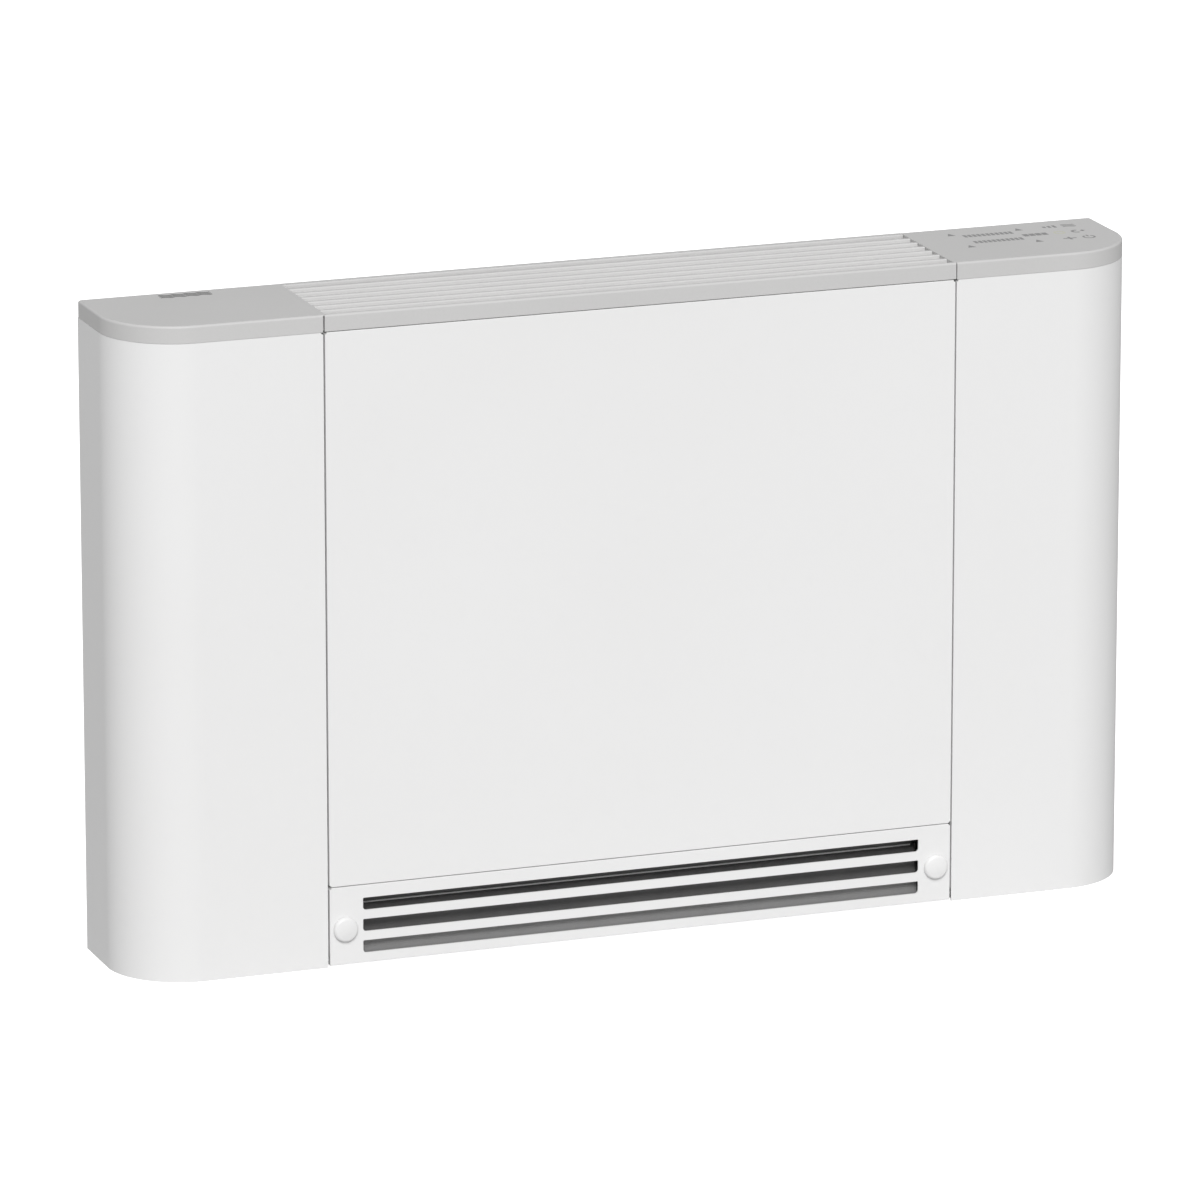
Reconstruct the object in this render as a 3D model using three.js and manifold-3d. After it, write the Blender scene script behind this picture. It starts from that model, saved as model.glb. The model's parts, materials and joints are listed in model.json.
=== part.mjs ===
// Slim console fan coil unit: painted casing, plastic top with a six-blade outlet louvre,
// drop-down intake grille with filter, cross-flow fan, inclined coil, valve set and control electrics.
// Millimetres, +Z up, front towards -Y. Origin: centre of the footprint, on the floor.
import * as THREE from 'three';
import { mergeVertices } from 'three/addons/utils/BufferGeometryUtils.js';
import Module from 'manifold-3d';

const wasm = await Module();
wasm.setup();

// ---------- driving dimensions ----------
const WIDTH = 980;
const HEIGHT = 605;
const BODY_DEPTH = 133;
const CORNER_RADIUS = 70;
const KNOB_PROUD = 5.5;
const SHEET = 1.5;
const FIT = 0.3;

const HALF = WIDTH / 2;
const FRONT = KNOB_PROUD - (BODY_DEPTH + KNOB_PROUD) / 2;
const BACK = FRONT + BODY_DEPTH;

const SEAM = 302.5;
const SEAM_GAP = 1.7;
const CENTRE_HALF = SEAM - SEAM_GAP / 2;
const SIDE_START = SEAM + SEAM_GAP / 2;

const CAP_HEIGHT = 15.5;
const CAP_BOTTOM = HEIGHT - CAP_HEIGHT;
const CAP_WALL = 2.4;
const CAP_EDGE = 3.5;
const LINE_GAP = 0.7;
const PANEL_TOP = CAP_BOTTOM - LINE_GAP;

const GRILLE_BOTTOM = 1.6;
const GRILLE_TOP = 74.6;
const SLOT_HALF = 270;
const SLOT_HEIGHT = 11.6;
const SLOT_PITCH = 20.1;
const SLOT_FIRST = 10.9;
const HINGE_Y = FRONT + 5.2;
const HINGE_Z = 6;
const HINGE_PIN = 1.6;

const KNOB_X = 287;
const KNOB_Z = 35;
const KNOB_RADIUS = 11.5;

const BLADES = 6;
const BLADE_PITCH = 17.8;
const BLADE_FIRST = FRONT + 17.1;
const BLADE_DROP = 2.4;
const BLADE_NOSE = 4.2;
const BLADE_SKIN = 1.3;
const BLADE_HALF = 300.1;
const PIVOT_Z = 600;
const PIVOT_PIN = 1.5;
const PIVOT_PLATE = [300.4, 301.6];
const CRANK = 12.5;
const CRANK_ANGLE = THREE.MathUtils.degToRad(-35);
const CRANK_Y = CRANK * Math.cos(CRANK_ANGLE);
const CRANK_Z = CRANK * Math.sin(CRANK_ANGLE);

const BULKHEAD = 306;
const FAN_Y = 8;
const FAN_Z = 150;
const FAN_RADIUS = 38;
const FAN_HALF = 286;
const FAN_BLADES = 20;
const SHAFT_RADIUS = 4;

const COIL_Y = 6;
const COIL_Z = 345;
const COIL_TILT = THREE.MathUtils.degToRad(-16);
const COIL_HALF = 284;
const COIL_THICK = 30;
const COIL_TALL = 190;
const COIL_ROWS = 7;
const COIL_ROW_PITCH = 25;
const TUBE_RADIUS = 4.5;
const TUBE_OFFSET = 7;

// ---------- helpers ----------
const unit = new THREE.Group();
unit.name = 'fan_coil_unit';

function solid(geometry) {
  const bare = geometry.clone();
  bare.deleteAttribute('normal');
  bare.deleteAttribute('uv');
  const merged = mergeVertices(bare, 1e-4);
  return new wasm.Manifold(new wasm.Mesh({
    numProp: 3,
    vertProperties: new Float32Array(merged.attributes.position.array),
    triVerts: new Uint32Array(merged.index.array),
  }));
}

function geometryOf(manifold) {
  const mesh = manifold.getMesh();
  const geometry = new THREE.BufferGeometry();
  const points = new Float32Array(mesh.vertProperties);
  const corners = new Uint32Array(mesh.triVerts);
  geometry.setAttribute('position', new THREE.BufferAttribute(points, 3));
  geometry.setIndex(new THREE.BufferAttribute(corners, 1));
  const flat = geometry.toNonIndexed();
  flat.computeVertexNormals();
  return flat;
}

function join(...geometries) {
  return geometryOf(geometries.map(solid).reduce((a, b) => a.add(b)));
}

function cut(geometry, ...tools) {
  return geometryOf(tools.map(solid).reduce((a, b) => a.subtract(b), solid(geometry)));
}

function mirrorX(geometry) {
  const flat = geometry.index ? geometry.toNonIndexed() : geometry.clone();
  const place = flat.attributes.position;
  for (let i = 0; i < place.count; i += 3) {
    const a = new THREE.Vector3().fromBufferAttribute(place, i);
    const b = new THREE.Vector3().fromBufferAttribute(place, i + 1);
    const c = new THREE.Vector3().fromBufferAttribute(place, i + 2);
    place.setXYZ(i, -a.x, a.y, a.z);
    place.setXYZ(i + 1, -c.x, c.y, c.z);
    place.setXYZ(i + 2, -b.x, b.y, b.z);
  }
  flat.computeVertexNormals();
  return flat;
}

function box(x0, x1, y0, y1, z0, z1) {
  const geometry = new THREE.BoxGeometry(x1 - x0, y1 - y0, z1 - z0);
  return geometry.translate((x0 + x1) / 2, (y0 + y1) / 2, (z0 + z1) / 2);
}

function rodZ(radius, z0, z1, x, y, sides = 16) {
  const rod = new THREE.CylinderGeometry(radius, radius, z1 - z0, sides);
  return rod.rotateX(Math.PI / 2).translate(x, y, (z0 + z1) / 2);
}

function rodX(radius, x0, x1, y, z, sides = 24) {
  const rod = new THREE.CylinderGeometry(radius, radius, x1 - x0, sides);
  return rod.rotateZ(-Math.PI / 2).translate((x0 + x1) / 2, y, z);
}

function rodY(radius, y0, y1, x, z, sides = 24) {
  const rod = new THREE.CylinderGeometry(radius, radius, y1 - y0, sides);
  return rod.translate(x, (y0 + y1) / 2, z);
}

function polygon(points) {
  return new THREE.Shape(points.map(([u, v]) => new THREE.Vector2(u, v)));
}

const FLAT = { bevelEnabled: false, steps: 1, curveSegments: 8 };
const PROFILE_TO_X = new THREE.Matrix4().makeBasis(
  new THREE.Vector3(0, 1, 0),
  new THREE.Vector3(0, 0, 1),
  new THREE.Vector3(1, 0, 0),
);

function pull(shape, depth, more) {
  return new THREE.ExtrudeGeometry(shape, { ...FLAT, ...more, depth });
}

// Outline in (x, y), pulled up along Z.
function pullZ(shape, z0, z1, more = {}) {
  return pull(shape, z1 - z0, more).translate(0, 0, z0);
}

// Outline in (y, z), pulled along X.
function pullX(shape, x0, x1, more = {}) {
  return pull(shape, x1 - x0, more).applyMatrix4(PROFILE_TO_X).translate(x0, 0, 0);
}

// Outline in (x, z), pulled along Y.
function pullY(shape, y0, y1, more = {}) {
  return pull(shape, y1 - y0, more).rotateX(Math.PI / 2).translate(0, y1, 0);
}

function tube(points, radius, steps, sides = 10) {
  const section = new THREE.Shape();
  section.absarc(0, 0, radius, 0, Math.PI * 2, false);
  return new THREE.ExtrudeGeometry(section, {
    steps,
    bevelEnabled: false,
    curveSegments: sides / 2,
    extrudePath: points,
  });
}

const finish = {
  white: [0xebebeb, 0.45, 0],
  grey: [0xc3c3c0, 0.5, 0],
  zinc: [0xb4b7ba, 0.45, 0.85],
  dark: [0x2c2d2f, 0.6, 0],
  black: [0x1b1c1e, 0.5, 0],
  mesh: [0x4a4c4e, 0.8, 0],
  fins: [0xcfd3d6, 0.35, 0.9],
  copper: [0xb87a52, 0.35, 0.95],
  brass: [0xb9a468, 0.35, 0.9],
  steel: [0xbfc2c5, 0.3, 0.95],
  board: [0x2f6b45, 0.5, 0],
  rubber: [0x202022, 0.85, 0],
};

function add(name, look, geometry, place = [0, 0, 0], parent = unit) {
  const [color, roughness, metalness] = finish[look];
  const mesh = new THREE.Mesh(geometry, new THREE.MeshStandardMaterial({ color, roughness, metalness }));
  mesh.name = name;
  mesh.position.set(...place);
  parent.add(mesh);
  return mesh;
}

// Centre of one tube end of the tilted coil, in the unit's own frame.
function coilPort(row, side) {
  const across = side * TUBE_OFFSET;
  const up = (row - (COIL_ROWS - 1) / 2) * COIL_ROW_PITCH;
  return {
    y: COIL_Y + across * Math.cos(COIL_TILT) - up * Math.sin(COIL_TILT),
    z: COIL_Z + across * Math.sin(COIL_TILT) + up * Math.cos(COIL_TILT),
  };
}

// Adds the right-hand piece as drawn and its mirror image on the left.
function addPair(name, look, geometry) {
  add(`right_${name}`, look, geometry);
  add(`left_${name}`, look, mirrorX(geometry));
}

// ---------- casing panels ----------
const FLANGE = 8;
const BACK_FLANGE = 12;

function sidePanel() {
  const inner = CORNER_RADIUS - SHEET;
  const plan = new THREE.Shape();
  plan.moveTo(SIDE_START, FRONT + FLANGE);
  plan.lineTo(SIDE_START, FRONT);
  plan.absarc(HALF - CORNER_RADIUS, FRONT + CORNER_RADIUS, CORNER_RADIUS, -Math.PI / 2, 0, false);
  plan.lineTo(HALF, BACK);
  plan.lineTo(HALF - BACK_FLANGE, BACK);
  plan.lineTo(HALF - BACK_FLANGE, BACK - SHEET);
  plan.lineTo(HALF - SHEET, BACK - SHEET);
  plan.absarc(HALF - CORNER_RADIUS, FRONT + CORNER_RADIUS, inner, 0, -Math.PI / 2, true);
  plan.lineTo(SIDE_START + SHEET, FRONT + SHEET);
  plan.lineTo(SIDE_START + SHEET, FRONT + FLANGE);
  plan.closePath();
  const hingeNotch = box(SIDE_START - 1, SIDE_START + SHEET + 1, FRONT + SHEET, FRONT + FLANGE + 1, -1, 12);
  return cut(pullZ(plan, 0, PANEL_TOP, { curveSegments: 20 }), hingeNotch);
}

function frontPanel() {
  const bottom = GRILLE_TOP + LINE_GAP;
  const back = FRONT + 12;
  const inside = CENTRE_HALF - SHEET;
  return cut(
    box(-CENTRE_HALF, CENTRE_HALF, FRONT, back, bottom, PANEL_TOP),
    box(-inside, inside, FRONT + SHEET, back + 1, bottom + SHEET, PANEL_TOP - SHEET),
  );
}

function backPlate() {
  const edge = HALF - BACK_FLANGE - 1;
  const plate = box(-edge, edge, BACK - SHEET, BACK, 3, 586);
  const keyholes = [];
  for (const x of [-250, 250]) {
    for (const z of [120, 520]) {
      keyholes.push(rodY(6, BACK - 3, BACK + 1, x, z, 16));
      keyholes.push(box(x - 2.75, x + 2.75, BACK - 3, BACK + 1, z, z + 16));
    }
  }
  const pipeWindow = box(-430, -350, BACK - 3, BACK + 1, 60, 200);
  return cut(plate, ...keyholes, pipeWindow);
}

addPair('side_panel', 'white', sidePanel());
add('front_panel', 'white', frontPanel());
add('back_plate', 'zinc', backPlate());

// ---------- chassis ----------
const CHASSIS_FRONT = FRONT + SHEET + 0.7;
const CHASSIS_BACK = BACK - SHEET - FIT;
const BEARING_RADIUS = 12;
const PIPE_LOW = coilPort(0, -1);
const PIPE_HIGH = coilPort(COIL_ROWS - 1, 1);
const PIPE_RADIUS = 7;
const SPOUT = { y: -22, z: 236 };

function bulkhead() {
  const foot = 14;
  return join(
    box(BULKHEAD, BULKHEAD + SHEET, CHASSIS_FRONT, CHASSIS_BACK, 0, 586),
    box(BULKHEAD, BULKHEAD + foot, CHASSIS_FRONT + foot, CHASSIS_BACK, 0, SHEET),
  );
}

function rightBulkhead() {
  return cut(
    bulkhead(),
    rodX(BEARING_RADIUS + FIT, BULKHEAD - 1, BULKHEAD + 3, FAN_Y, FAN_Z),
    rodX(HINGE_PIN + FIT, BULKHEAD - 1, BULKHEAD + 3, HINGE_Y, HINGE_Z, 12),
  );
}

function leftBulkhead() {
  const bore = (radius, y, z) => rodX(radius, -BULKHEAD - 3, -BULKHEAD + 1, y, z);
  return cut(
    mirrorX(bulkhead()),
    bore(BEARING_RADIUS + FIT, FAN_Y, FAN_Z),
    bore(HINGE_PIN + FIT, HINGE_Y, HINGE_Z),
    bore(PIPE_RADIUS + 2, PIPE_LOW.y, PIPE_LOW.z),
    bore(PIPE_RADIUS + 2, PIPE_HIGH.y, PIPE_HIGH.z),
    bore(10, SPOUT.y, SPOUT.z),
  );
}

function crossRail(y0, y1, z0, z1) {
  const inner = BULKHEAD - FIT;
  return cut(
    box(-inner, inner, y0, y1, z0, z1),
    box(-inner - 1, inner + 1, y0 + SHEET, y1 + 1, z0 + SHEET, z1 - SHEET),
  );
}

add('right_bulkhead', 'zinc', rightBulkhead());
add('left_bulkhead', 'zinc', leftBulkhead());
add('lower_cross_rail', 'zinc', crossRail(46, CHASSIS_BACK, 4, 34));
add('upper_cross_rail', 'zinc', crossRail(FRONT + 13, FRONT + 25, 545, 575));

// ---------- intake grille, filter and knobs ----------
const FLAP_FLANGE = 7;
const FLAP_END = 10;
const FLAP_ROUND = 3;

function intakeGrille() {
  const outline = new THREE.Shape();
  outline.moveTo(FRONT + FLAP_END, GRILLE_BOTTOM);
  outline.lineTo(FRONT + FLAP_END, GRILLE_TOP);
  outline.lineTo(FRONT, GRILLE_TOP);
  outline.absarc(FRONT + FLAP_ROUND, GRILLE_BOTTOM + FLAP_ROUND, FLAP_ROUND, Math.PI, Math.PI * 1.5, false);
  outline.closePath();
  const inside = CENTRE_HALF - SHEET;
  const back = FRONT + FLAP_END + 1;
  const tools = [
    box(-inside, inside, FRONT + SHEET, back, GRILLE_BOTTOM + SHEET, GRILLE_TOP - SHEET),
    box(-inside + 1, inside - 1, FRONT + FLAP_FLANGE, back, 0, GRILLE_TOP + 1),
    rodX(HINGE_PIN + 0.35, -CENTRE_HALF - 1, -inside + 1, HINGE_Y, HINGE_Z, 16),
    rodX(HINGE_PIN + 0.35, inside - 1, CENTRE_HALF + 1, HINGE_Y, HINGE_Z, 16),
  ];
  for (const side of [-1, 1]) {
    tools.push(rodY(4.6, FRONT - 1, FRONT + SHEET + 1, side * KNOB_X, KNOB_Z));
  }
  for (let row = 0; row < 3; row += 1) {
    const z0 = SLOT_FIRST + row * SLOT_PITCH;
    const z1 = z0 + SLOT_HEIGHT;
    const slot = new THREE.Shape();
    slot.moveTo(-SLOT_HALF + 3, z0);
    slot.absarc(SLOT_HALF - 3, z0 + 3, 3, -Math.PI / 2, 0, false);
    slot.absarc(SLOT_HALF - 1, z1 - 1, 1, 0, Math.PI / 2, false);
    slot.absarc(-SLOT_HALF + 1, z1 - 1, 1, Math.PI / 2, Math.PI, false);
    slot.absarc(-SLOT_HALF + 3, z0 + 3, 3, Math.PI, Math.PI * 1.5, false);
    tools.push(pullY(slot, FRONT - 1, FRONT + SHEET + 1, { curveSegments: 4 }));
  }
  return cut(pullX(outline, -CENTRE_HALF, CENTRE_HALF, { curveSegments: 4 }), ...tools);
}

// The filter leans back from its lower edge; it is drawn upright around that edge.
const FILTER_HALF = 273;
const FILTER_TALL = 49.5;
const FILTER_THICK = 4;
const FILTER_LEAN = THREE.MathUtils.degToRad(-14);
const FILTER_FOOT = [0, FRONT + 8, 5.5];

function filterFrame() {
  const border = 4;
  const cells = 6;
  const rib = 2.5;
  const cell = (2 * (FILTER_HALF - border) - rib * (cells - 1)) / cells;
  const middle = FILTER_TALL / 2;
  const windows = [];
  for (let i = 0; i < cells; i += 1) {
    const x0 = -FILTER_HALF + border + i * (cell + rib);
    windows.push(box(x0, x0 + cell, -1, FILTER_THICK + 1, border, middle - rib / 2));
    windows.push(box(x0, x0 + cell, -1, FILTER_THICK + 1, middle + rib / 2, FILTER_TALL - border));
  }
  return cut(box(-FILTER_HALF, FILTER_HALF, 0, FILTER_THICK, 0, FILTER_TALL), ...windows);
}

function filterMesh() {
  const pleats = 10;
  const margin = 1.5;
  const wave = 2;
  const cloth = 1.2;
  const step = (FILTER_TALL - 2 * margin) / pleats;
  const near = FILTER_THICK + FIT;
  const ahead = [];
  const behind = [];
  for (let i = 0; i <= pleats; i += 1) {
    const y = near + (i % 2) * wave;
    ahead.push([y, margin + i * step]);
    behind.unshift([y + cloth, margin + i * step]);
  }
  return pullX(polygon([...behind, ...ahead]), -FILTER_HALF + 1, FILTER_HALF - 1);
}

function knob() {
  const crown = 1.2;
  const proud = KNOB_PROUD;
  const rim = 0.8;
  const profile = new THREE.Path();
  profile.moveTo(0, 0.2);
  profile.lineTo(KNOB_RADIUS - 0.4, 0.2);
  profile.lineTo(KNOB_RADIUS, 0.6);
  profile.lineTo(KNOB_RADIUS, proud - crown - rim);
  profile.quadraticCurveTo(KNOB_RADIUS, proud - crown, KNOB_RADIUS - rim, proud - crown + 0.2);
  profile.quadraticCurveTo(KNOB_RADIUS / 2, proud, 0, proud);
  const cap = new THREE.LatheGeometry(profile.getPoints(3), 32);
  const stem = rodY(4, -11, 1, 0, 0, 20);
  const bar = box(-6, 6, -11, -8, -2.5, 2.5);
  return join(cap, stem, bar).rotateX(Math.PI);
}

function knobSocket() {
  const rear = FRONT + 15.5;
  const tall = 13;
  return cut(
    box(KNOB_X - 12, BULKHEAD - FIT, FRONT + 8.5, rear, KNOB_Z - tall, KNOB_Z + tall),
    rodY(10.5, FRONT + 8, rear - 2, KNOB_X, KNOB_Z, 24),
    box(KNOB_X - 10.5, KNOB_X + 10.5, FRONT + 8, rear - 2, KNOB_Z, KNOB_Z + tall + 1),
    box(CENTRE_HALF - SHEET - 1, CENTRE_HALF + 1, FRONT + 8, FRONT + FLAP_END + 1.5, 0, KNOB_Z + tall + 1),
  );
}

function hingePin() {
  const pin = rodX(HINGE_PIN, CENTRE_HALF - SHEET - 1.5, BULKHEAD + 3, HINGE_Y, HINGE_Z, 16);
  const head = rodX(3, BULKHEAD + SHEET + FIT, BULKHEAD + 3.6, HINGE_Y, HINGE_Z, 16);
  return join(pin, head);
}

add('intake_grille', 'white', intakeGrille());
const filter = new THREE.Group();
filter.position.set(...FILTER_FOOT);
filter.rotation.x = FILTER_LEAN;
unit.add(filter);
add('filter_frame', 'dark', filterFrame(), [0, 0, 0], filter);
add('filter_mesh', 'mesh', filterMesh(), [0, 0, 0], filter);
add('right_knob', 'white', knob(), [KNOB_X, FRONT, KNOB_Z]);
add('left_knob', 'white', knob(), [-KNOB_X, FRONT, KNOB_Z]);
addPair('knob_socket', 'dark', knobSocket());
addPair('grille_hinge_pin', 'steel', hingePin());

// ---------- plastic top ----------
const LIP = PIVOT_PLATE[0];

// Plan of a cap, drawn smaller by inset all round its outer sides.
function capPlan(inset, inboard) {
  const radius = CORNER_RADIUS - inset;
  const plan = new THREE.Shape();
  plan.moveTo(inboard, FRONT + inset);
  plan.lineTo(HALF - CORNER_RADIUS, FRONT + inset);
  plan.absarc(HALF - CORNER_RADIUS, FRONT + CORNER_RADIUS, radius, -Math.PI / 2, 0, false);
  plan.lineTo(HALF - inset, BACK - inset);
  plan.lineTo(inboard, BACK - inset);
  plan.closePath();
  return plan;
}

function cap() {
  const block = 20;
  const roundEdge = {
    curveSegments: 20,
    bevelEnabled: true,
    bevelSize: CAP_EDGE,
    bevelThickness: CAP_EDGE,
    bevelSegments: 4,
  };
  const start = HEIGHT - CAP_EDGE - block;
  const shell = pullZ(capPlan(CAP_EDGE, SIDE_START + CAP_EDGE), start, HEIGHT - CAP_EDGE, roundEdge);
  const [y0, y1] = [FRONT + CAP_EDGE, BACK - CAP_EDGE];
  const squareEnd = box(SIDE_START, SIDE_START + 12, y0, y1, CAP_BOTTOM, HEIGHT);
  const lip = box(LIP, SIDE_START + 5, y0, y1, HEIGHT - 1.6, HEIGHT);
  const below = box(LIP - 10, HALF + 10, FRONT - 10, BACK + 10, CAP_BOTTOM - 40, CAP_BOTTOM);
  const ceiling = HEIGHT - CAP_WALL - 0.4;
  const inside = capPlan(CAP_WALL, SIDE_START + CAP_WALL);
  const room = pullZ(inside, CAP_BOTTOM - 1, ceiling, { curveSegments: 20 });
  return cut(join(shell, squareEnd, lip), below, room);
}

// The grey strip along the front of the outlet, whose top falls back to the first blade.
function louvreFrontTrim() {
  const profile = new THREE.Shape();
  const edge = CAP_EDGE;
  const rear = BLADE_FIRST - 0.4;
  profile.moveTo(FRONT, CAP_BOTTOM);
  profile.lineTo(FRONT + CAP_WALL, CAP_BOTTOM);
  profile.lineTo(FRONT + CAP_WALL, HEIGHT - CAP_WALL - 1.2);
  profile.lineTo(rear, HEIGHT - BLADE_DROP - BLADE_SKIN);
  profile.lineTo(rear, HEIGHT - BLADE_DROP);
  profile.lineTo(FRONT + edge, HEIGHT);
  profile.absarc(FRONT + edge, HEIGHT - edge, edge, Math.PI / 2, Math.PI, false);
  profile.closePath();
  return pullX(profile, -CENTRE_HALF, CENTRE_HALF, { curveSegments: 6 });
}

function trimRelief() {
  const relief = (x0, x1) => box(x0, x1, FRONT + CAP_EDGE - FIT, BLADE_FIRST, CAP_BOTTOM - 1, HEIGHT + 1);
  return [
    relief(PIVOT_PLATE[0] - FIT, CENTRE_HALF + 1),
    relief(-CENTRE_HALF - 1, -PIVOT_PLATE[0] + FIT),
  ];
}

function louvreRearRail() {
  const face = BLADE_FIRST + BLADES * BLADE_PITCH + 0.5;
  const profile = polygon([
    [face, HEIGHT - BLADE_NOSE],
    [face + 1.6, HEIGHT - BLADE_NOSE],
    [face + 1.6, HEIGHT - 3],
    [BACK - 1.8, HEIGHT - 3.4],
    [BACK - 1.8, CAP_BOTTOM],
    [BACK, CAP_BOTTOM],
    [BACK, HEIGHT - 1.8],
    [BACK - 1.2, HEIGHT - 0.6],
    [face + 1, HEIGHT],
    [face, HEIGHT - 0.7],
  ]);
  return pullX(profile, -PIVOT_PLATE[0] + FIT, PIVOT_PLATE[0] - FIT);
}

function pivotPlate() {
  const [x0, x1] = PIVOT_PLATE;
  const plate = box(x0, x1, FRONT + CAP_EDGE + 0.6, BACK - CAP_EDGE, 590, HEIGHT - 2);
  const bores = [];
  for (let i = 0; i < BLADES; i += 1) {
    bores.push(rodX(PIVOT_PIN + 0.3, x0 - 1, x1 + 1, bladePivotY(i), PIVOT_Z, 16));
  }
  return cut(plate, ...bores);
}

function bladePivotY(index) {
  return BLADE_FIRST + BLADE_PITCH * (index + 0.5);
}

const EAR = 2;
const EAR_ROUND = 2.4;

// Drawn around its own pivot axis, with an ear at each end; the left ear carries the crank pin.
function louvreBlade() {
  const nose = -BLADE_PITCH / 2;
  const tail = BLADE_PITCH / 2 - 0.4;
  const top = HEIGHT - PIVOT_Z;
  const profile = new THREE.Shape();
  profile.moveTo(nose, top - BLADE_NOSE);
  profile.lineTo(nose + 1.3, top - BLADE_NOSE);
  profile.lineTo(nose + 2.4, top - BLADE_SKIN - 0.6);
  profile.lineTo(tail, top - BLADE_DROP - BLADE_SKIN);
  profile.lineTo(tail, top - BLADE_DROP);
  profile.lineTo(nose + 1, top);
  profile.absarc(nose + 1, top - 1, 1, Math.PI / 2, Math.PI, false);
  profile.closePath();
  const crank = polygon([
    [-EAR_ROUND, top - BLADE_SKIN],
    [-EAR_ROUND, -EAR_ROUND],
    [CRANK_Y - 1, CRANK_Z - EAR_ROUND],
    [CRANK_Y + EAR_ROUND, CRANK_Z - 1],
    [CRANK_Y + EAR_ROUND, CRANK_Z + 2],
    [tail - EAR_ROUND, top - BLADE_DROP - BLADE_SKIN / 2],
  ]);
  return join(
    pullX(profile, -BLADE_HALF, BLADE_HALF, { curveSegments: 4 }),
    box(BLADE_HALF - EAR, BLADE_HALF, -EAR_ROUND, EAR_ROUND, -EAR_ROUND, top - BLADE_DROP),
    pullX(crank, -BLADE_HALF, -BLADE_HALF + EAR),
    rodX(PIVOT_PIN, BLADE_HALF - 1, BLADE_HALF + 1.9, 0, 0, 16),
    rodX(PIVOT_PIN, -BLADE_HALF - 1.9, -BLADE_HALF + 1, 0, 0, 16),
    rodX(PIVOT_PIN, -BLADE_HALF + 1, -BLADE_HALF + 5, CRANK_Y, CRANK_Z, 16),
  );
}

function louvreLink() {
  const x0 = -BLADE_HALF + EAR + FIT;
  const end = 3.5;
  const tall = 2.8;
  const bar = box(x0, x0 + 2, -end, BLADE_PITCH * (BLADES - 1) + end, -tall, tall);
  const bores = [];
  for (let i = 0; i < BLADES; i += 1) {
    bores.push(rodX(PIVOT_PIN + 0.35, x0 - 1, x0 + 3, BLADE_PITCH * i, 0, 16));
  }
  return cut(bar, ...bores);
}

function louvreSwitch() {
  const body = box(-278, -262, BACK - 14, BACK - 4, 572, 584);
  const button = rodZ(1.5, 583, 586.5, -270, BACK - 9, 12);
  return join(body, button);
}

addPair('cap', 'grey', cap());
add('louvre_front_trim', 'grey', cut(louvreFrontTrim(), ...trimRelief()));
add('louvre_rear_rail', 'grey', louvreRearRail());
addPair('louvre_pivot_plate', 'grey', pivotPlate());
for (let i = 0; i < BLADES; i += 1) {
  add(`louvre_blade_${i + 1}`, 'grey', louvreBlade(), [0, bladePivotY(i), PIVOT_Z]);
}
add('louvre_link', 'dark', louvreLink(), [0, bladePivotY(0) + CRANK_Y, PIVOT_Z + CRANK_Z]);
add('louvre_switch', 'black', louvreSwitch());
add('touch_board', 'board', box(332, 458, -38, 46, HEIGHT - 5.4, HEIGHT - CAP_WALL - 0.8));

// ---------- cross-flow fan ----------
function fanBlade(angle) {
  const outline = new THREE.Shape();
  outline.moveTo(FAN_RADIUS - 13, -3.2);
  outline.quadraticCurveTo(FAN_RADIUS - 5, -2.2, FAN_RADIUS - 0.6, 2.4);
  outline.lineTo(FAN_RADIUS - 1.4, 3.2);
  outline.quadraticCurveTo(FAN_RADIUS - 6, -1, FAN_RADIUS - 13, -2.2);
  outline.closePath();
  return pullX(outline, -FAN_HALF + 1, FAN_HALF - 1, { curveSegments: 2 }).rotateX(angle);
}

function fanRotor() {
  const ring = (x, inner) => {
    const shape = new THREE.Shape();
    shape.absarc(0, 0, FAN_RADIUS, 0, Math.PI * 2, false);
    const hole = new THREE.Path();
    hole.absarc(0, 0, inner, 0, Math.PI * 2, true);
    shape.holes.push(hole);
    return pullX(shape, x, x + 3, { curveSegments: 14 });
  };
  const pieces = [ring(-FAN_HALF, SHAFT_RADIUS + FIT), ring(FAN_HALF - 3, SHAFT_RADIUS + FIT)];
  for (const x of [-96.5, 93.5]) {
    pieces.push(ring(x, FAN_RADIUS - 14));
  }
  for (let i = 0; i < FAN_BLADES; i += 1) {
    pieces.push(fanBlade((i / FAN_BLADES) * Math.PI * 2));
  }
  return join(...pieces);
}

function driveShaft() {
  const collar = FAN_HALF + 0.4;
  return join(
    rodX(SHAFT_RADIUS, FAN_HALF - 12, 352, 0, 0, 20),
    rodX(9, collar, collar + 6, 0, 0, 24),
  );
}

function stubShaft() {
  const collar = -FAN_HALF - 0.4;
  return join(
    rodX(SHAFT_RADIUS, -BULKHEAD - 2, -FAN_HALF + 12, 0, 0, 20),
    rodX(9, collar - 5, collar, 0, 0, 24),
  );
}

function fanBearing() {
  const ring = rodX(BEARING_RADIUS, -BULKHEAD - 5, -BULKHEAD + 4, FAN_Y, FAN_Z, 28);
  const flange = rodX(18, -BULKHEAD - 5, -BULKHEAD - SHEET - FIT, FAN_Y, FAN_Z, 28);
  return cut(join(ring, flange), rodX(SHAFT_RADIUS + 0.3, -BULKHEAD - 6, -BULKHEAD + 5, FAN_Y, FAN_Z, 28));
}

const MOTOR_START = 316;
const MOTOR_END = 366;
const MOTOR_RADIUS = 36;
const MOTOR_FIXING_RADIUS = 26;
const MOTOR_FIXINGS = [30, 150, 270].map((degrees) => {
  const angle = THREE.MathUtils.degToRad(degrees);
  return [
    FAN_Y + MOTOR_FIXING_RADIUS * Math.cos(angle),
    FAN_Z + MOTOR_FIXING_RADIUS * Math.sin(angle),
  ];
});

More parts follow.
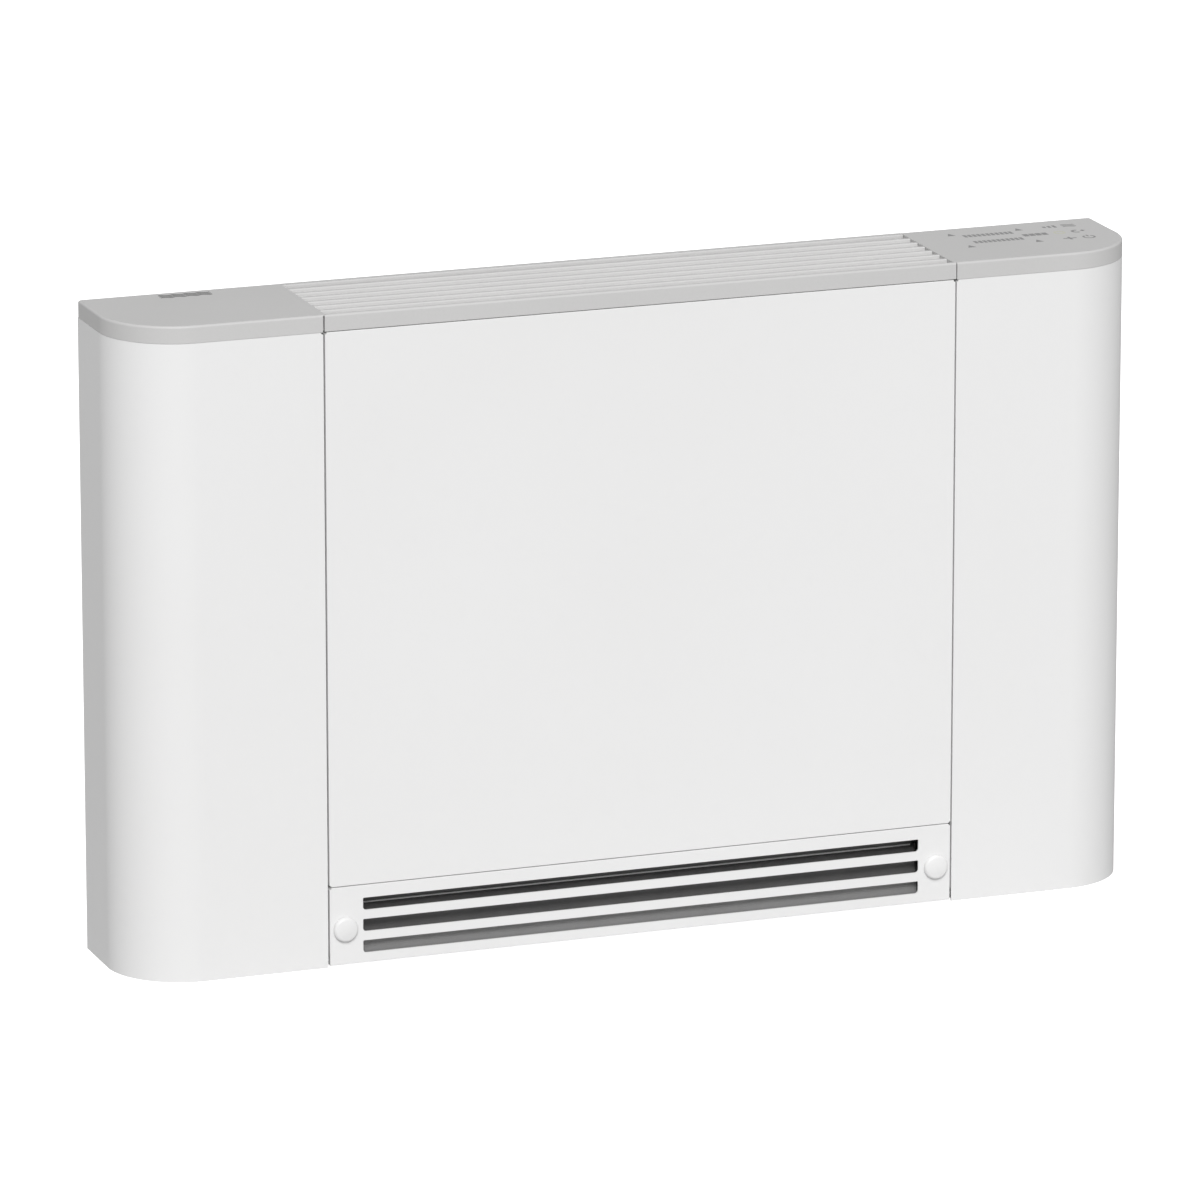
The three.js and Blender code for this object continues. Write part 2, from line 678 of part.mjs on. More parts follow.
function fanMotor() {
  const radius = MOTOR_RADIUS;
  const body = new THREE.CylinderGeometry(radius, radius, MOTOR_END - MOTOR_START - 16, 28);
  body.rotateZ(-Math.PI / 2).translate((MOTOR_START + MOTOR_END) / 2, FAN_Y, FAN_Z);
  const bell = (x0, x1) => rodX(radius - 6, x0, x1, FAN_Y, FAN_Z, 28);
  const bore = rodX(SHAFT_RADIUS + 0.5, MOTOR_START - 1, 353, FAN_Y, FAN_Z, 20);
  const bosses = MOTOR_FIXINGS.map(([y, z]) => rodX(4, MOTOR_START, MOTOR_START + 12, y, z, 16));
  return cut(join(body, bell(MOTOR_START + 2, MOTOR_END), ...bosses), bore);
}

function motorBracket() {
  const x0 = BULKHEAD + SHEET + FIT;
  const plate = rodX(44, x0, x0 + 2, FAN_Y, FAN_Z, 28);
  const lugs = MOTOR_FIXINGS.map(([y, z]) => rodX(5.5, x0, MOTOR_START - FIT, y, z, 16));
  return cut(join(plate, ...lugs), rodX(14, x0 - 1, MOTOR_START, FAN_Y, FAN_Z, 28));
}

const DUCT_HALF = 296;
const DUCT_TOP = 470;
const GUIDE = 1.6;

// A sheet of even thickness along a centre line of (y, z) points.
function sheetAlong(points, x0, x1) {
  const sideA = [];
  const sideB = [];
  points.forEach((point, i) => {
    const before = points[Math.max(i - 1, 0)];
    const after = points[Math.min(i + 1, points.length - 1)];
    const along = new THREE.Vector2(after[0] - before[0], after[1] - before[1]).normalize();
    sideA.push([point[0] - (along.y * GUIDE) / 2, point[1] + (along.x * GUIDE) / 2]);
    sideB.unshift([point[0] + (along.y * GUIDE) / 2, point[1] - (along.x * GUIDE) / 2]);
  });
  return pullX(polygon([...sideA, ...sideB].reverse()), x0, x1);
}

function rearGuide() {
  const start = THREE.MathUtils.degToRad(-80);
  const sweep = THREE.MathUtils.degToRad(88);
  const steps = 14;
  const line = [];
  for (let i = 0; i <= steps; i += 1) {
    const angle = start + (sweep * i) / steps;
    const radius = FAN_RADIUS + 5 + (8 * i) / steps;
    line.push([FAN_Y + Math.cos(angle) * radius, FAN_Z + Math.sin(angle) * radius]);
  }
  line.push([line[steps][0] + 1, FAN_Z + 30]);
  line.push([line[steps][0] + 1, DUCT_TOP]);
  return sheetAlong(line, -DUCT_HALF, DUCT_HALF);
}

function frontGuide() {
  const gap = FAN_RADIUS + 4;
  const tongue = THREE.MathUtils.degToRad(152);
  const y = FAN_Y + Math.cos(tongue) * gap;
  const z = FAN_Z + Math.sin(tongue) * gap;
  const wall = FRONT + 15;
  const line = [
    [y, z],
    [y - 3, z + 2],
    [wall + 6, z + 18],
    [wall, z + 34],
    [wall, DUCT_TOP],
  ];
  return sheetAlong(line, -DUCT_HALF, DUCT_HALF);
}

const fan = new THREE.Group();
fan.position.set(0, FAN_Y, FAN_Z);
unit.add(fan);
add('fan_rotor', 'dark', fanRotor(), [0, 0, 0], fan);
add('fan_drive_shaft', 'steel', driveShaft(), [0, 0, 0], fan);
add('fan_stub_shaft', 'steel', stubShaft(), [0, 0, 0], fan);
add('fan_bearing', 'rubber', fanBearing());
add('fan_motor', 'zinc', fanMotor());
add('motor_bracket', 'zinc', motorBracket());
add('fan_rear_guide', 'zinc', rearGuide());
add('fan_front_guide', 'zinc', frontGuide());

// ---------- coil, drain and water side ----------
function bend(x, z, side) {
  const reach = 8;
  const path = new THREE.CurvePath();
  const from = new THREE.Vector3(x, -TUBE_OFFSET, z);
  const out = new THREE.Vector3(x + side * reach, -TUBE_OFFSET, z);
  const back = new THREE.Vector3(x + side * reach, TUBE_OFFSET, z);
  path.add(new THREE.LineCurve3(from, out));
  const bulge = side * TUBE_OFFSET * 1.33;
  path.add(new THREE.CubicBezierCurve3(
    out, new THREE.Vector3(x + side * reach + bulge, -TUBE_OFFSET, z),
    new THREE.Vector3(x + side * reach + bulge, TUBE_OFFSET, z), back));
  path.add(new THREE.LineCurve3(back, new THREE.Vector3(x, TUBE_OFFSET, z)));
  return tube(path, TUBE_RADIUS, 12, 8);
}

function coil() {
  const deep = COIL_THICK / 2;
  const tall = COIL_TALL / 2;
  const plate = (x) => box(x, x + SHEET, -deep - 2, deep + 2, -tall, tall);
  const fins = box(-COIL_HALF, COIL_HALF, -deep, deep, -tall + 1, tall - 1);
  const pieces = [fins, plate(-COIL_HALF - SHEET + 0.1), plate(COIL_HALF - 0.1)];
  for (let i = 0; i < COIL_ROWS; i += 1) {
    const z = (i - (COIL_ROWS - 1) / 2) * COIL_ROW_PITCH;
    pieces.push(bend(COIL_HALF - 4, z, 1));
    if (i > 0 && i < COIL_ROWS - 1) {
      pieces.push(bend(-COIL_HALF + 4, z, -1));
    }
  }
  return join(...pieces);
}

const coilFrame = new THREE.Group();
coilFrame.position.set(0, COIL_Y, COIL_Z);
coilFrame.rotation.x = COIL_TILT;
unit.add(coilFrame);
add('coil', 'fins', coil(), [0, 0, 0], coilFrame);

function drainPan() {
  const [y0, y1, z0, z1] = [-44, 2, 226, 245];
  const half = 292;
  return cut(
    box(-half, half, y0, y1, z0, z1),
    box(-half + 1.6, half - 1.6, y0 + 1.6, y1 - 1.6, z0 + 1.8, z1 + 1),
    rodX(6, -half - 1, -half + 4, SPOUT.y, SPOUT.z, 20),
  );
}

function drainSpout() {
  const outer = rodX(8, -336, -292 - FIT, SPOUT.y, SPOUT.z, 24);
  const collar = rodX(9, -336, -331, SPOUT.y, SPOUT.z, 24);
  return cut(join(outer, collar), rodX(6, -337, -290, SPOUT.y, SPOUT.z, 24));
}

// Copper pipe from the coil, through the left bulkhead, down to its coupling.
function waterPipe(port, downX, downY, lowZ) {
  const turn = 18;
  const start = new THREE.Vector3(-COIL_HALF - 5, port.y, port.z);
  const corner = new THREE.Vector3(downX, port.y, port.z);
  const path = new THREE.CurvePath();
  const enter = new THREE.Vector3(downX + turn, port.y, port.z);
  const leave = new THREE.Vector3(downX, downY, port.z - turn);
  path.add(new THREE.LineCurve3(start, enter));
  path.add(new THREE.QuadraticBezierCurve3(enter, corner, leave));
  path.add(new THREE.LineCurve3(leave, new THREE.Vector3(downX, downY, lowZ)));
  return tube(path, PIPE_RADIUS, 24, 12);
}

const INLET_X = -372;
const OUTLET_X = -412;
const VALVE_STEM = 15;
const VALVE_Z = 183;
const VALVE_TOP = 216;
const VALVE_BOTTOM = 150;
const COUPLING_BOTTOM = 104;

function hexNut(radius, z0, z1, x, y) {
  return rodZ(radius, z0, z1, x, y, 6);
}

function valveBody() {
  const y = PIPE_LOW.y;
  return join(
    rodZ(11, VALVE_BOTTOM, VALVE_TOP, INLET_X, y, 24),
    hexNut(15, VALVE_TOP - 14, VALVE_TOP, INLET_X, y),
    hexNut(15, VALVE_BOTTOM, VALVE_BOTTOM + 14, INLET_X, y),
    rodY(12, y - VALVE_STEM, y, INLET_X, VALVE_Z, 24),
  );
}

function valveActuator() {
  const y = PIPE_LOW.y - VALVE_STEM - FIT;
  const head = rodY(17, y - 18, y - 4, INLET_X, VALVE_Z, 24);
  const ring = rodY(14.5, y - 5, y, INLET_X, VALVE_Z, 24);
  const collet = rodY(13, y - 20, y - 17, INLET_X, VALVE_Z, 24);
  return join(ring, head, collet);
}

function coupling(x, y, top) {
  return cut(
    join(
      hexNut(15, top - 16, top, x, y),
      rodZ(10.5, COUPLING_BOTTOM - 10, top - 15, x, y, 24),
      hexNut(14, COUPLING_BOTTOM - 10, COUPLING_BOTTOM + 4, x, y),
    ),
    rodZ(7.5, COUPLING_BOTTOM - 11, COUPLING_BOTTOM + 8, x, y, 24),
  );
}

function airVent() {
  const y = PIPE_HIGH.y;
  const z = PIPE_HIGH.z + PIPE_RADIUS + FIT;
  return join(
    rodZ(6, z, z + 6, -330, y, 20),
    hexNut(7.5, z + 5, z + 12, -330, y),
    rodZ(3.5, z + 11, z + 20, -330, y, 16),
  );
}

add('drain_pan', 'dark', drainPan());
add('drain_spout', 'dark', drainSpout());
add('inlet_pipe', 'copper', waterPipe(PIPE_LOW, INLET_X, PIPE_LOW.y, VALVE_TOP + FIT));
add('outlet_pipe', 'copper', waterPipe(PIPE_HIGH, OUTLET_X, PIPE_HIGH.y, VALVE_BOTTOM));
add('valve_body', 'brass', valveBody());
add('valve_actuator', 'white', valveActuator());
add('inlet_coupling', 'brass', coupling(INLET_X, PIPE_LOW.y, VALVE_BOTTOM - FIT));
add('outlet_coupling', 'brass', coupling(OUTLET_X, PIPE_HIGH.y, VALVE_BOTTOM - FIT));
add('air_vent', 'brass', airVent());

// ---------- electrics ----------
const ECASE = { x0: 322, x1: 452, y0: 0, y1: 52, z0: 290, z1: 480 };

function electricalBox() {
  const { x0, x1, y0, y1, z0, z1 } = ECASE;
  return cut(
    box(x0, x1, y0, y1, z0, z1),
    box(x0 + 2, x1 - 2, y0 - 1, y1 - 2, z0 + 2, z1 - 2),
    rodZ(8.5, z0 - 1, z0 + 3, x0 + 30, 26, 20),
  );
}

function electricalCover() {
  const { x0, x1, y0, z0, z1 } = ECASE;
  const lid = box(x0, x1, y0 - 2 - FIT, y0 - FIT, z0, z1);
  const louvres = [];
  for (let i = 0; i < 5; i += 1) {
    louvres.push(box(x0 + 30, x1 - 30, y0 - 4, y0 + 1, z1 - 60 + i * 9, z1 - 56 + i * 9));
  }
  return cut(lid, ...louvres);
}

function terminalBlock() {
  const { x0, y1, z0 } = ECASE;
  const ways = 8;
  const pitch = 8;
  const back = y1 - 2 - FIT;
  const left = x0 + 14;
  const recesses = [];
  for (let i = 0; i < ways; i += 1) {
    recesses.push(box(left + 2 + i * pitch, left + 8 + i * pitch, back - 19, back - 12, z0 + 30, z0 + 38));
  }
  return cut(box(left, left + ways * pitch + 2, back - 18, back, z0 + 26, z0 + 46), ...recesses);
}

function controllerBoard() {
  const { x0, x1, y1, z0, z1 } = ECASE;
  const back = y1 - 2 - FIT;
  const board = box(x0 + 10, x1 - 10, back - 3, back - 1.2, z0 + 60, z1 - 10);
  const chips = [
    box(x0 + 22, x0 + 50, back - 20, back - 2, z0 + 120, z0 + 152),
    box(x0 + 62, x0 + 82, back - 16, back - 2, z0 + 80, z0 + 96),
    box(x0 + 88, x0 + 108, back - 16, back - 2, z0 + 80, z0 + 96),
    rodY(7, back - 22, back - 2, x0 + 78, z0 + 140, 20),
  ];
  return join(board, ...chips);
}

function cableGland() {
  const { x0, z0 } = ECASE;
  const x = x0 + 30;
  return cut(
    join(
      rodZ(8, z0 - 12, z0 + 8, x, 26, 24),
      hexNut(12, z0 - 8, z0 - FIT, x, 26),
      rodZ(10, z0 - 20, z0 - 8, x, 26, 24),
    ),
    rodZ(4.5, z0 - 21, z0 + 9, x, 26, 20),
  );
}

function capacitor() {
  const x = 404;
  const y = 24;
  return join(
    rodZ(14, 214, 262, x, y, 28),
    rodZ(4, 205, 215, x, y, 16),
    box(x - 6, x + 6, y - 1, y + 1, 261, 270),
  );
}

function airSensor() {
  const probe = rodX(3, 262, 292, -30, 84, 16);
  const bulb = new THREE.SphereGeometry(3.2, 16, 10).translate(262, -30, 84);
  return join(probe, bulb);
}

function sensorClip() {
  return cut(box(288, BULKHEAD - FIT, -36, -24, 78, 90), rodX(3.4, 287, 293, -30, 84, 20));
}

add('electrical_box', 'zinc', electricalBox());
add('electrical_cover', 'zinc', electricalCover());
add('terminal_block', 'grey', terminalBlock());
add('controller_board', 'board', controllerBoard());
add('cable_gland', 'black', cableGland());
add('motor_capacitor', 'black', capacitor());
add('air_sensor', 'black', airSensor());
add('air_sensor_clip', 'dark', sensorClip());

export default unit;
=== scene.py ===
"""Slim console fan coil unit: its visible surfaces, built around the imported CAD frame. Metres, +Z up, front to -Y."""
import json
import math

import bmesh
import bpy
from mathutils import Matrix, Vector


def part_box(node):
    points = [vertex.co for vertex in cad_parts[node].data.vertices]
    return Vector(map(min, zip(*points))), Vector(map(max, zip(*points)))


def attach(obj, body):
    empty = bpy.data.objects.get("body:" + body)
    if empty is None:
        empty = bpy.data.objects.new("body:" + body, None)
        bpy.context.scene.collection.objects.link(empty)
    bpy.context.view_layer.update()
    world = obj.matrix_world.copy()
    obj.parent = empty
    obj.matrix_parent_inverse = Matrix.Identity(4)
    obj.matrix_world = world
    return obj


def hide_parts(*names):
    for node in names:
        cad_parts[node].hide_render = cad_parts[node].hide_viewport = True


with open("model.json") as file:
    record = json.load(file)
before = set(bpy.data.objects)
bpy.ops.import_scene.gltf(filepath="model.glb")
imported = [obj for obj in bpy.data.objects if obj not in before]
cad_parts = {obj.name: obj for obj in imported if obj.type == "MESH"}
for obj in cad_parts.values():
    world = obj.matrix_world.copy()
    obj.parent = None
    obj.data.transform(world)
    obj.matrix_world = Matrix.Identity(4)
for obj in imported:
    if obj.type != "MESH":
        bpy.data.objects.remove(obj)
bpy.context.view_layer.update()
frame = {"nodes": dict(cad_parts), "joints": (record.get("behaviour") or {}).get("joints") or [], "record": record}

MM = 0.001


def span(node):
    """Lowest and highest corner of a CAD node at rest."""
    low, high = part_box(node)
    return Vector(low), Vector(high)


def middle(node):
    """Centre of a CAD node's box."""
    return [(a + b) / 2 for a, b in zip(*span(node))]


def joint_place(name):
    """Where a joint of the frame turns."""
    for joint in frame["joints"]:
        if joint["name"] == name:
            return Vector(joint["pos_m"])
    raise ValueError(name)


# ---------- places taken from the frame ----------
PANEL_LOW, PANEL_HIGH = span("right_side_panel")
CAP_HIGH = span("right_cap")[1]
CENTRE_LOW, CENTRE_HIGH = span("front_panel")
GRILLE_LOW, GRILLE_HIGH = span("intake_grille")
FRONT = PANEL_LOW.y
BACK = PANEL_HIGH.y
HALF = PANEL_HIGH.x
TOP = CAP_HIGH.z
SIDE_START = PANEL_LOW.x
SHEET = 1.5 * MM
CORNER = 70 * MM
# distances from the middle of the unit: ends of the louvre blades, start of the cap's lip, chassis end plates
BLADE_HALF = 300.1 * MM
CAP_LIP = 300.4 * MM
BULKHEAD = 313 * MM
PLASTIC_WALL = 2.4 * MM
SIGN = {"left": -1, "right": 1}
# how much tighter than in the CAD the seams beside each side panel close
SEAM_FIT = {"left": 0.0, "right": 0.3 * MM}


# ---------- materials ----------
class Nodes:
    """A small helper that adds and links shader nodes of one material."""

    def __init__(self, name, base=None):
        self.material = base.copy() if base else bpy.data.materials.new(name)
        self.material.name = name
        self.material.use_nodes = True
        self.tree = self.material.node_tree
        self.shader = self.tree.nodes["Principled BSDF"]
        coordinates = self.tree.nodes.new("ShaderNodeTexCoord")
        self.place = coordinates.outputs["Object"]

    def add(self, kind, inputs=None, **settings):
        node = self.tree.nodes.new(kind)
        for key, value in settings.items():
            setattr(node, key, value)
        for key, value in (inputs or {}).items():
            if isinstance(value, bpy.types.NodeSocket):
                self.tree.links.new(value, node.inputs[key])
            else:
                node.inputs[key].default_value = value
        return node

    def noise(self, scale, detail=3.0, rough=0.5, place=None):
        inputs = {"Vector": place or self.place, "Scale": scale, "Detail": detail, "Roughness": rough}
        return self.add("ShaderNodeTexNoise", inputs).outputs["Fac"]

    def stretch(self, x, y, z):
        return self.add("ShaderNodeMapping", {"Vector": self.place, "Scale": (x, y, z)}).outputs["Vector"]

    def ramp(self, factor, low, high, start=0.3, end=0.7):
        node = self.add("ShaderNodeMapRange", {
            "Value": factor, "From Min": start, "From Max": end, "To Min": low, "To Max": high})
        return node.outputs["Result"]

    def blend(self, factor, first, second, mode="MIX"):
        node = self.add("ShaderNodeMix", data_type="RGBA", blend_type=mode)
        for socket, value in ((node.inputs[0], factor), (node.inputs[6], first), (node.inputs[7], second)):
            if isinstance(value, bpy.types.NodeSocket):
                self.tree.links.new(value, socket)
            else:
                socket.default_value = value
        return node.outputs[2]

    def grey_pair(self, factor, low, high):
        return self.blend(self.ramp(factor, 0.0, 1.0, 0.0, 0.7), grey(low), grey(high))

    def combine(self, operation, first, second):
        return self.add("ShaderNodeMath", {0: first, 1: second}, operation=operation).outputs[0]

    def bump(self, height, distance, strength):
        inputs = {"Height": height, "Distance": distance, "Strength": strength}
        return self.add("ShaderNodeBump", inputs).outputs["Normal"]

    def plug(self, **values):
        for key, value in values.items():
            socket = self.shader.inputs[key.replace("_", " ")]
            if isinstance(value, bpy.types.NodeSocket):
                self.tree.links.new(value, socket)
            else:
                socket.default_value = value
        return self.material


def grey(value, warm=0.0):
    """A grey colour, leaning to red when warm and to blue when below zero."""
    return (value * (1 + warm), value, value * (1 - warm), 1.0)


def painted_metal(name, value):
    """Powder coat: faint orange peel, slow changes of tone and gloss, soft dust."""
    n = Nodes(name)
    slow = n.noise(2.2, 4.0)
    fine = n.noise(700.0, 2.0)
    peel = n.noise(420.0, 2.0, 0.4)
    dust = n.noise(60.0, 6.0, 0.7)
    tone = n.blend(n.ramp(slow, 0.0, 1.0), grey(value * 0.985, 0.003), grey(value * 1.012))
    tone = n.blend(n.ramp(dust, 0.0, 0.05, 0.55, 0.75), tone, grey(value * 0.8, 0.01))
    rough = n.combine("ADD", n.ramp(slow, 0.40, 0.47), n.ramp(fine, -0.03, 0.03))
    normal = n.bump(peel, 0.00004, 0.35)
    return n.plug(Base_Color=tone, Roughness=rough, Normal=normal, Coat_Weight=0.08, Coat_Roughness=0.25)


def moulded_plastic(name, value, warm=0.0, grain=1500.0, depth=0.00005, rough=0.5, spread=0.06):
    """Moulded plastic with an eroded grain, slow tone changes and slightly polished high spots."""
    n = Nodes(name)
    slow = n.noise(5.0, 3.0)
    pits = n.noise(grain, 2.0, 0.6)
    speck = n.noise(grain * 0.35, 3.0, 0.6)
    tone = n.blend(n.ramp(slow, 0.0, 1.0), grey(value * 0.98, warm), grey(value * 1.02, warm))
    tone = n.blend(n.ramp(speck, 0.0, 0.08, 0.5, 0.7), tone, grey(value * 0.75, warm))
    sheen = n.ramp(pits, rough - spread, rough + spread)
    return n.plug(Base_Color=tone, Roughness=sheen, Normal=n.bump(pits, depth, 0.6))


def galvanised(name, value=0.6):
    """Zinc-coated sheet: crystal spangle, rolling direction and a dull film."""
    n = Nodes(name)
    cells = n.add("ShaderNodeTexVoronoi", {"Vector": n.place, "Scale": 130.0, "Randomness": 1.0})
    spangle = n.add("ShaderNodeSeparateColor", {"Color": cells.outputs["Color"]}).outputs[0]
    rolling = n.noise(40.0, 3.0, 0.6, n.stretch(1.0, 1.0, 14.0))
    film = n.noise(9.0, 5.0, 0.6)
    tone = n.blend(n.ramp(spangle, 0.0, 1.0, 0.0, 1.0), grey(value * 0.86, -0.01), grey(value * 1.12, -0.015))
    tone = n.blend(n.ramp(film, 0.0, 0.35), tone, grey(value * 0.8, 0.005))
    rough = n.combine("ADD", n.ramp(spangle, 0.34, 0.5, 0.0, 1.0), n.ramp(film, 0.0, 0.1))
    return n.plug(Base_Color=tone, Metallic=0.85, Roughness=rough, Normal=n.bump(rolling, 0.00003, 0.4))


def bright_metal(name, color, rough=0.28, brush=(1.0, 1.0, 30.0), dull=0.75):
    """Turned or drawn metal: fine lines along one direction and slightly tarnished patches."""
    n = Nodes(name)
    lines = n.noise(160.0, 4.0, 0.6, n.stretch(*brush))
    patch = n.noise(24.0, 5.0, 0.65)
    darker = tuple(c * dull for c in color) + (1.0,)
    tone = n.blend(n.ramp(patch, 0.0, 1.0, 0.35, 0.75), tuple(color) + (1.0,), darker)
    gloss = n.combine("ADD", n.ramp(lines, rough - 0.06, rough + 0.08), n.ramp(patch, 0.0, 0.16))
    return n.plug(Base_Color=tone, Metallic=1.0, Roughness=gloss, Normal=n.bump(lines, 0.00002, 0.4))


def rubber(name):
    """Black rubber with a dull bloom."""
    n = Nodes(name)
    bloom = n.noise(30.0, 6.0, 0.7)
    skin = n.noise(900.0, 2.0)
    tone = n.blend(n.ramp(bloom, 0.0, 1.0), grey(0.018), grey(0.035, 0.02))
    return n.plug(Base_Color=tone, Roughness=n.ramp(bloom, 0.72, 0.9), Normal=n.bump(skin, 0.00006, 0.6))


# heights in metres between which the cloth changes tone, and its thread tones above them: painted light and shade,
# lighter behind the lowest slot and darker behind the upper ones
CLOTH_SHADE_BANDS = (
    (0.008, 0.021, 0.47, 0.64), (0.0235, 0.026, 0.08, 0.12), (0.026, 0.036, 0.13, 0.18), (0.040, 0.044, 0.06, 0.10))


def filter_cloth(name):
    """Woven filter cloth: over and under threads about 1 mm apart, with dust in patches; its tone changes in bands with
    height as painted light and shade.
    """
    n = Nodes(name)
    threads = 420.0
    warp, weft = (
        n.add("ShaderNodeTexWave", {"Vector": n.place, "Scale": threads, "Distortion": 1.5},
              wave_type="BANDS", bands_direction=direction).outputs["Fac"]
        for direction in "XZ")
    weave = n.combine("MULTIPLY", warp, weft)
    dust = n.noise(35.0, 6.0, 0.7)
    height = n.add("ShaderNodeSeparateXYZ", {"Vector": n.place}).outputs["Z"]
    tone = n.grey_pair(weave, 0.20, 0.27)
    # painted light and shade: a lighter cloth tone behind the lowest slot and darker tones behind the upper slots
    for start, end, low, high in CLOTH_SHADE_BANDS:
        tone = n.blend(n.ramp(height, 0.0, 1.0, start, end), tone, n.grey_pair(weave, low, high))
    tone = n.blend(n.ramp(dust, 0.0, 0.2, 0.4, 0.7), tone, grey(0.2, 0.03))
    return n.plug(Base_Color=tone, Roughness=n.ramp(dust, 0.8, 0.95), Normal=n.bump(weave, 0.0003, 0.8))


def circuit_board(name):
    """Green solder mask with faint copper tracks under it and tinned pads."""
    n = Nodes(name)
    tracks = n.add("ShaderNodeTexBrick", {
        "Vector": n.place, "Scale": 60.0, "Mortar Size": 0.02, "Mortar": (1, 1, 1, 1),
        "Color1": (0, 0, 0, 1), "Color2": (0.12, 0.12, 0.12, 1)}).outputs["Color"]
    mask = n.noise(18.0, 3.0)
    tone = n.blend(n.ramp(mask, 0.0, 1.0), (0.012, 0.085, 0.035, 1), (0.02, 0.12, 0.05, 1))
    tone = n.blend(tracks, tone, (0.05, 0.22, 0.09, 1))
    return n.plug(Base_Color=tone, Roughness=n.ramp(mask, 0.25, 0.4), Normal=n.bump(tracks, 0.00003, 0.5))


def printed_ink(name, color):
    """Screen-printed ink, slightly uneven."""
    n = Nodes(name)
    patchy = n.noise(900.0, 3.0)
    light = tuple(min(1.0, c * 1.15) for c in color) + (1.0,)
    tone = n.blend(n.ramp(patchy, 0.0, 1.0), tuple(color) + (1.0,), light)
    return n.plug(Base_Color=tone, Roughness=n.ramp(patchy, 0.45, 0.6))


WHITE = painted_metal("white_paint", 0.80)
KNOB_WHITE = moulded_plastic("white_plastic", 0.79, 0.002, 1800.0, 0.00003, 0.38, 0.05)
GREY = moulded_plastic("grey_plastic", 0.56, 0.006)
# painted light: the blades take the caps' grey plastic made a little paler, so their tops read lighter than the caps'
# tops
LIT_BLADE_GREY = moulded_plastic("blade_plastic_painted_light", 0.59, 0.006)
BLACK = moulded_plastic("dark_plastic", 0.03, 0.0, 1300.0, 0.00006, 0.5)
ZINC = galvanised("galvanised_steel")
STEEL = bright_metal("bright_steel", (0.55, 0.55, 0.55))
COPPER = bright_metal("copper", (0.72, 0.36, 0.22), 0.3)
BRASS = bright_metal("brass", (0.66, 0.5, 0.24), 0.32)
FINS = bright_metal("coil_aluminium", (0.72, 0.74, 0.76), 0.34, (30.0, 1.0, 1.0), 0.9)
# painted highlight: the bead's pale tone stands for the light caught along the filter's top edge
BEAD_PAINTED_HIGHLIGHT = moulded_plastic("filter_bead", 0.75, 0.0, 1300.0, 0.00004, 0.45)
# painted shade: a grey sheet whose tone sets how dim the shaded gap above the filter reads
SHADE_FILL_FOAM = moulded_plastic("filter_foam", 0.26, 0.0, 900.0, 0.0002, 0.88, 0.08)
RUBBER = rubber("rubber")
CLOTH = filter_cloth("filter_cloth")
BOARD = circuit_board("circuit_board")
INK = printed_ink("keypad_ink", (0.24, 0.24, 0.24))
INK_PALE = printed_ink("keypad_ink_pale", (0.52, 0.52, 0.44))
INK_DARK = printed_ink("emblem_ink", (0.09, 0.09, 0.09))

EDGE_LOOKS = {}


def rubbed(material):
    """The same finish for a rounded edge, which handling leaves smoother and a little paler in patches."""
    if material.name not in EDGE_LOOKS:
        n = Nodes(f"{material.name}_edge", material)
        patches = n.noise(90.0, 5.0, 0.65)
        tone = n.shader.inputs["Base Color"].links[0].from_socket
        rough = n.shader.inputs["Roughness"].links[0].from_socket
        paler = n.blend(1.0, tone, grey(0.04), "ADD")
        smoother = n.combine("MULTIPLY", rough, n.ramp(patches, 1.0, 0.75, 0.35, 0.65))
        n.plug(Base_Color=n.blend(n.ramp(patches, 0.0, 1.0, 0.35, 0.65), tone, paler), Roughness=smoother)
        EDGE_LOOKS[material.name] = n.material
    return EDGE_LOOKS[material.name]


SLOT_LOOKS = {
    "white_paint": WHITE, "white_plastic": KNOB_WHITE, "grey_plastic": GREY, "dark_plastic": BLACK,
    "filter_cloth": CLOTH, "galvanised_steel": ZINC, "bright_steel": STEEL, "coil_aluminium": FINS,
    "copper": COPPER, "brass": BRASS, "rubber": RUBBER, "circuit_board": BOARD,
}


# ---------- mesh tools ----------
def arc(u, v, radius, start, end, steps):
    """Points on a circle about (u, v), angles in degrees."""
    points = []
    for i in range(steps + 1):
        angle = math.radians(start + (end - start) * i / steps)
        points.append((u + radius * math.cos(angle), v + radius * math.sin(angle)))
    return points


ALONG = {
    "x": lambda u, v, w: (w, u, v),
    "y": lambda u, v, w: (u, w, v),
    "z": lambda u, v, w: (u, v, w),
}


def prism(outline, along, start, end):
    """A closed solid with the given outline, from start to end along one axis."""
    bm = bmesh.new()
    at = ALONG[along]
    first = [bm.verts.new(at(u, v, start)) for u, v in outline]
    last = [bm.verts.new(at(u, v, end)) for u, v in outline]
    bm.faces.new(first)
    bm.faces.new(last)
    count = len(outline)
    for i in range(count):
        j = (i + 1) % count
        bm.faces.new((first[i], first[j], last[j], last[i]))
    bmesh.ops.recalc_face_normals(bm, faces=bm.faces)
    return bm


def block(x0, x1, y0, y1, z0, z1):
    """A box between six planes."""
    return prism([(x0, y0), (x1, y0), (x1, y1), (x0, y1)], "z", z0, z1)


def loft(rings, hoop=False):
    """Joins rings of equally many points into one skin: capped at both ends, or closed round into a hoop."""
    bm = bmesh.new()
    layers = [[bm.verts.new(point) for point in ring] for ring in rings]
    following = layers[1:] + layers[:1] if hoop else layers[1:]
    for below, above in zip(layers, following):
        for i in range(len(below)):
            j = (i + 1) % len(below)
            bm.faces.new((below[i], below[j], above[j], above[i]))
    if not hoop:
        bm.faces.new(layers[0])
        bm.faces.new(layers[-1])
    bmesh.ops.recalc_face_normals(bm, faces=bm.faces)
    return bm


# direction of each axis, and the side that a turned part starts from
AXES = {
    "x": (Vector((1, 0, 0)), Vector((0, 1, 0))),
    "y": (Vector((0, 1, 0)), Vector((0, 0, 1))),
    "z": (Vector((0, 0, 1)), Vector((1, 0, 0))),
}


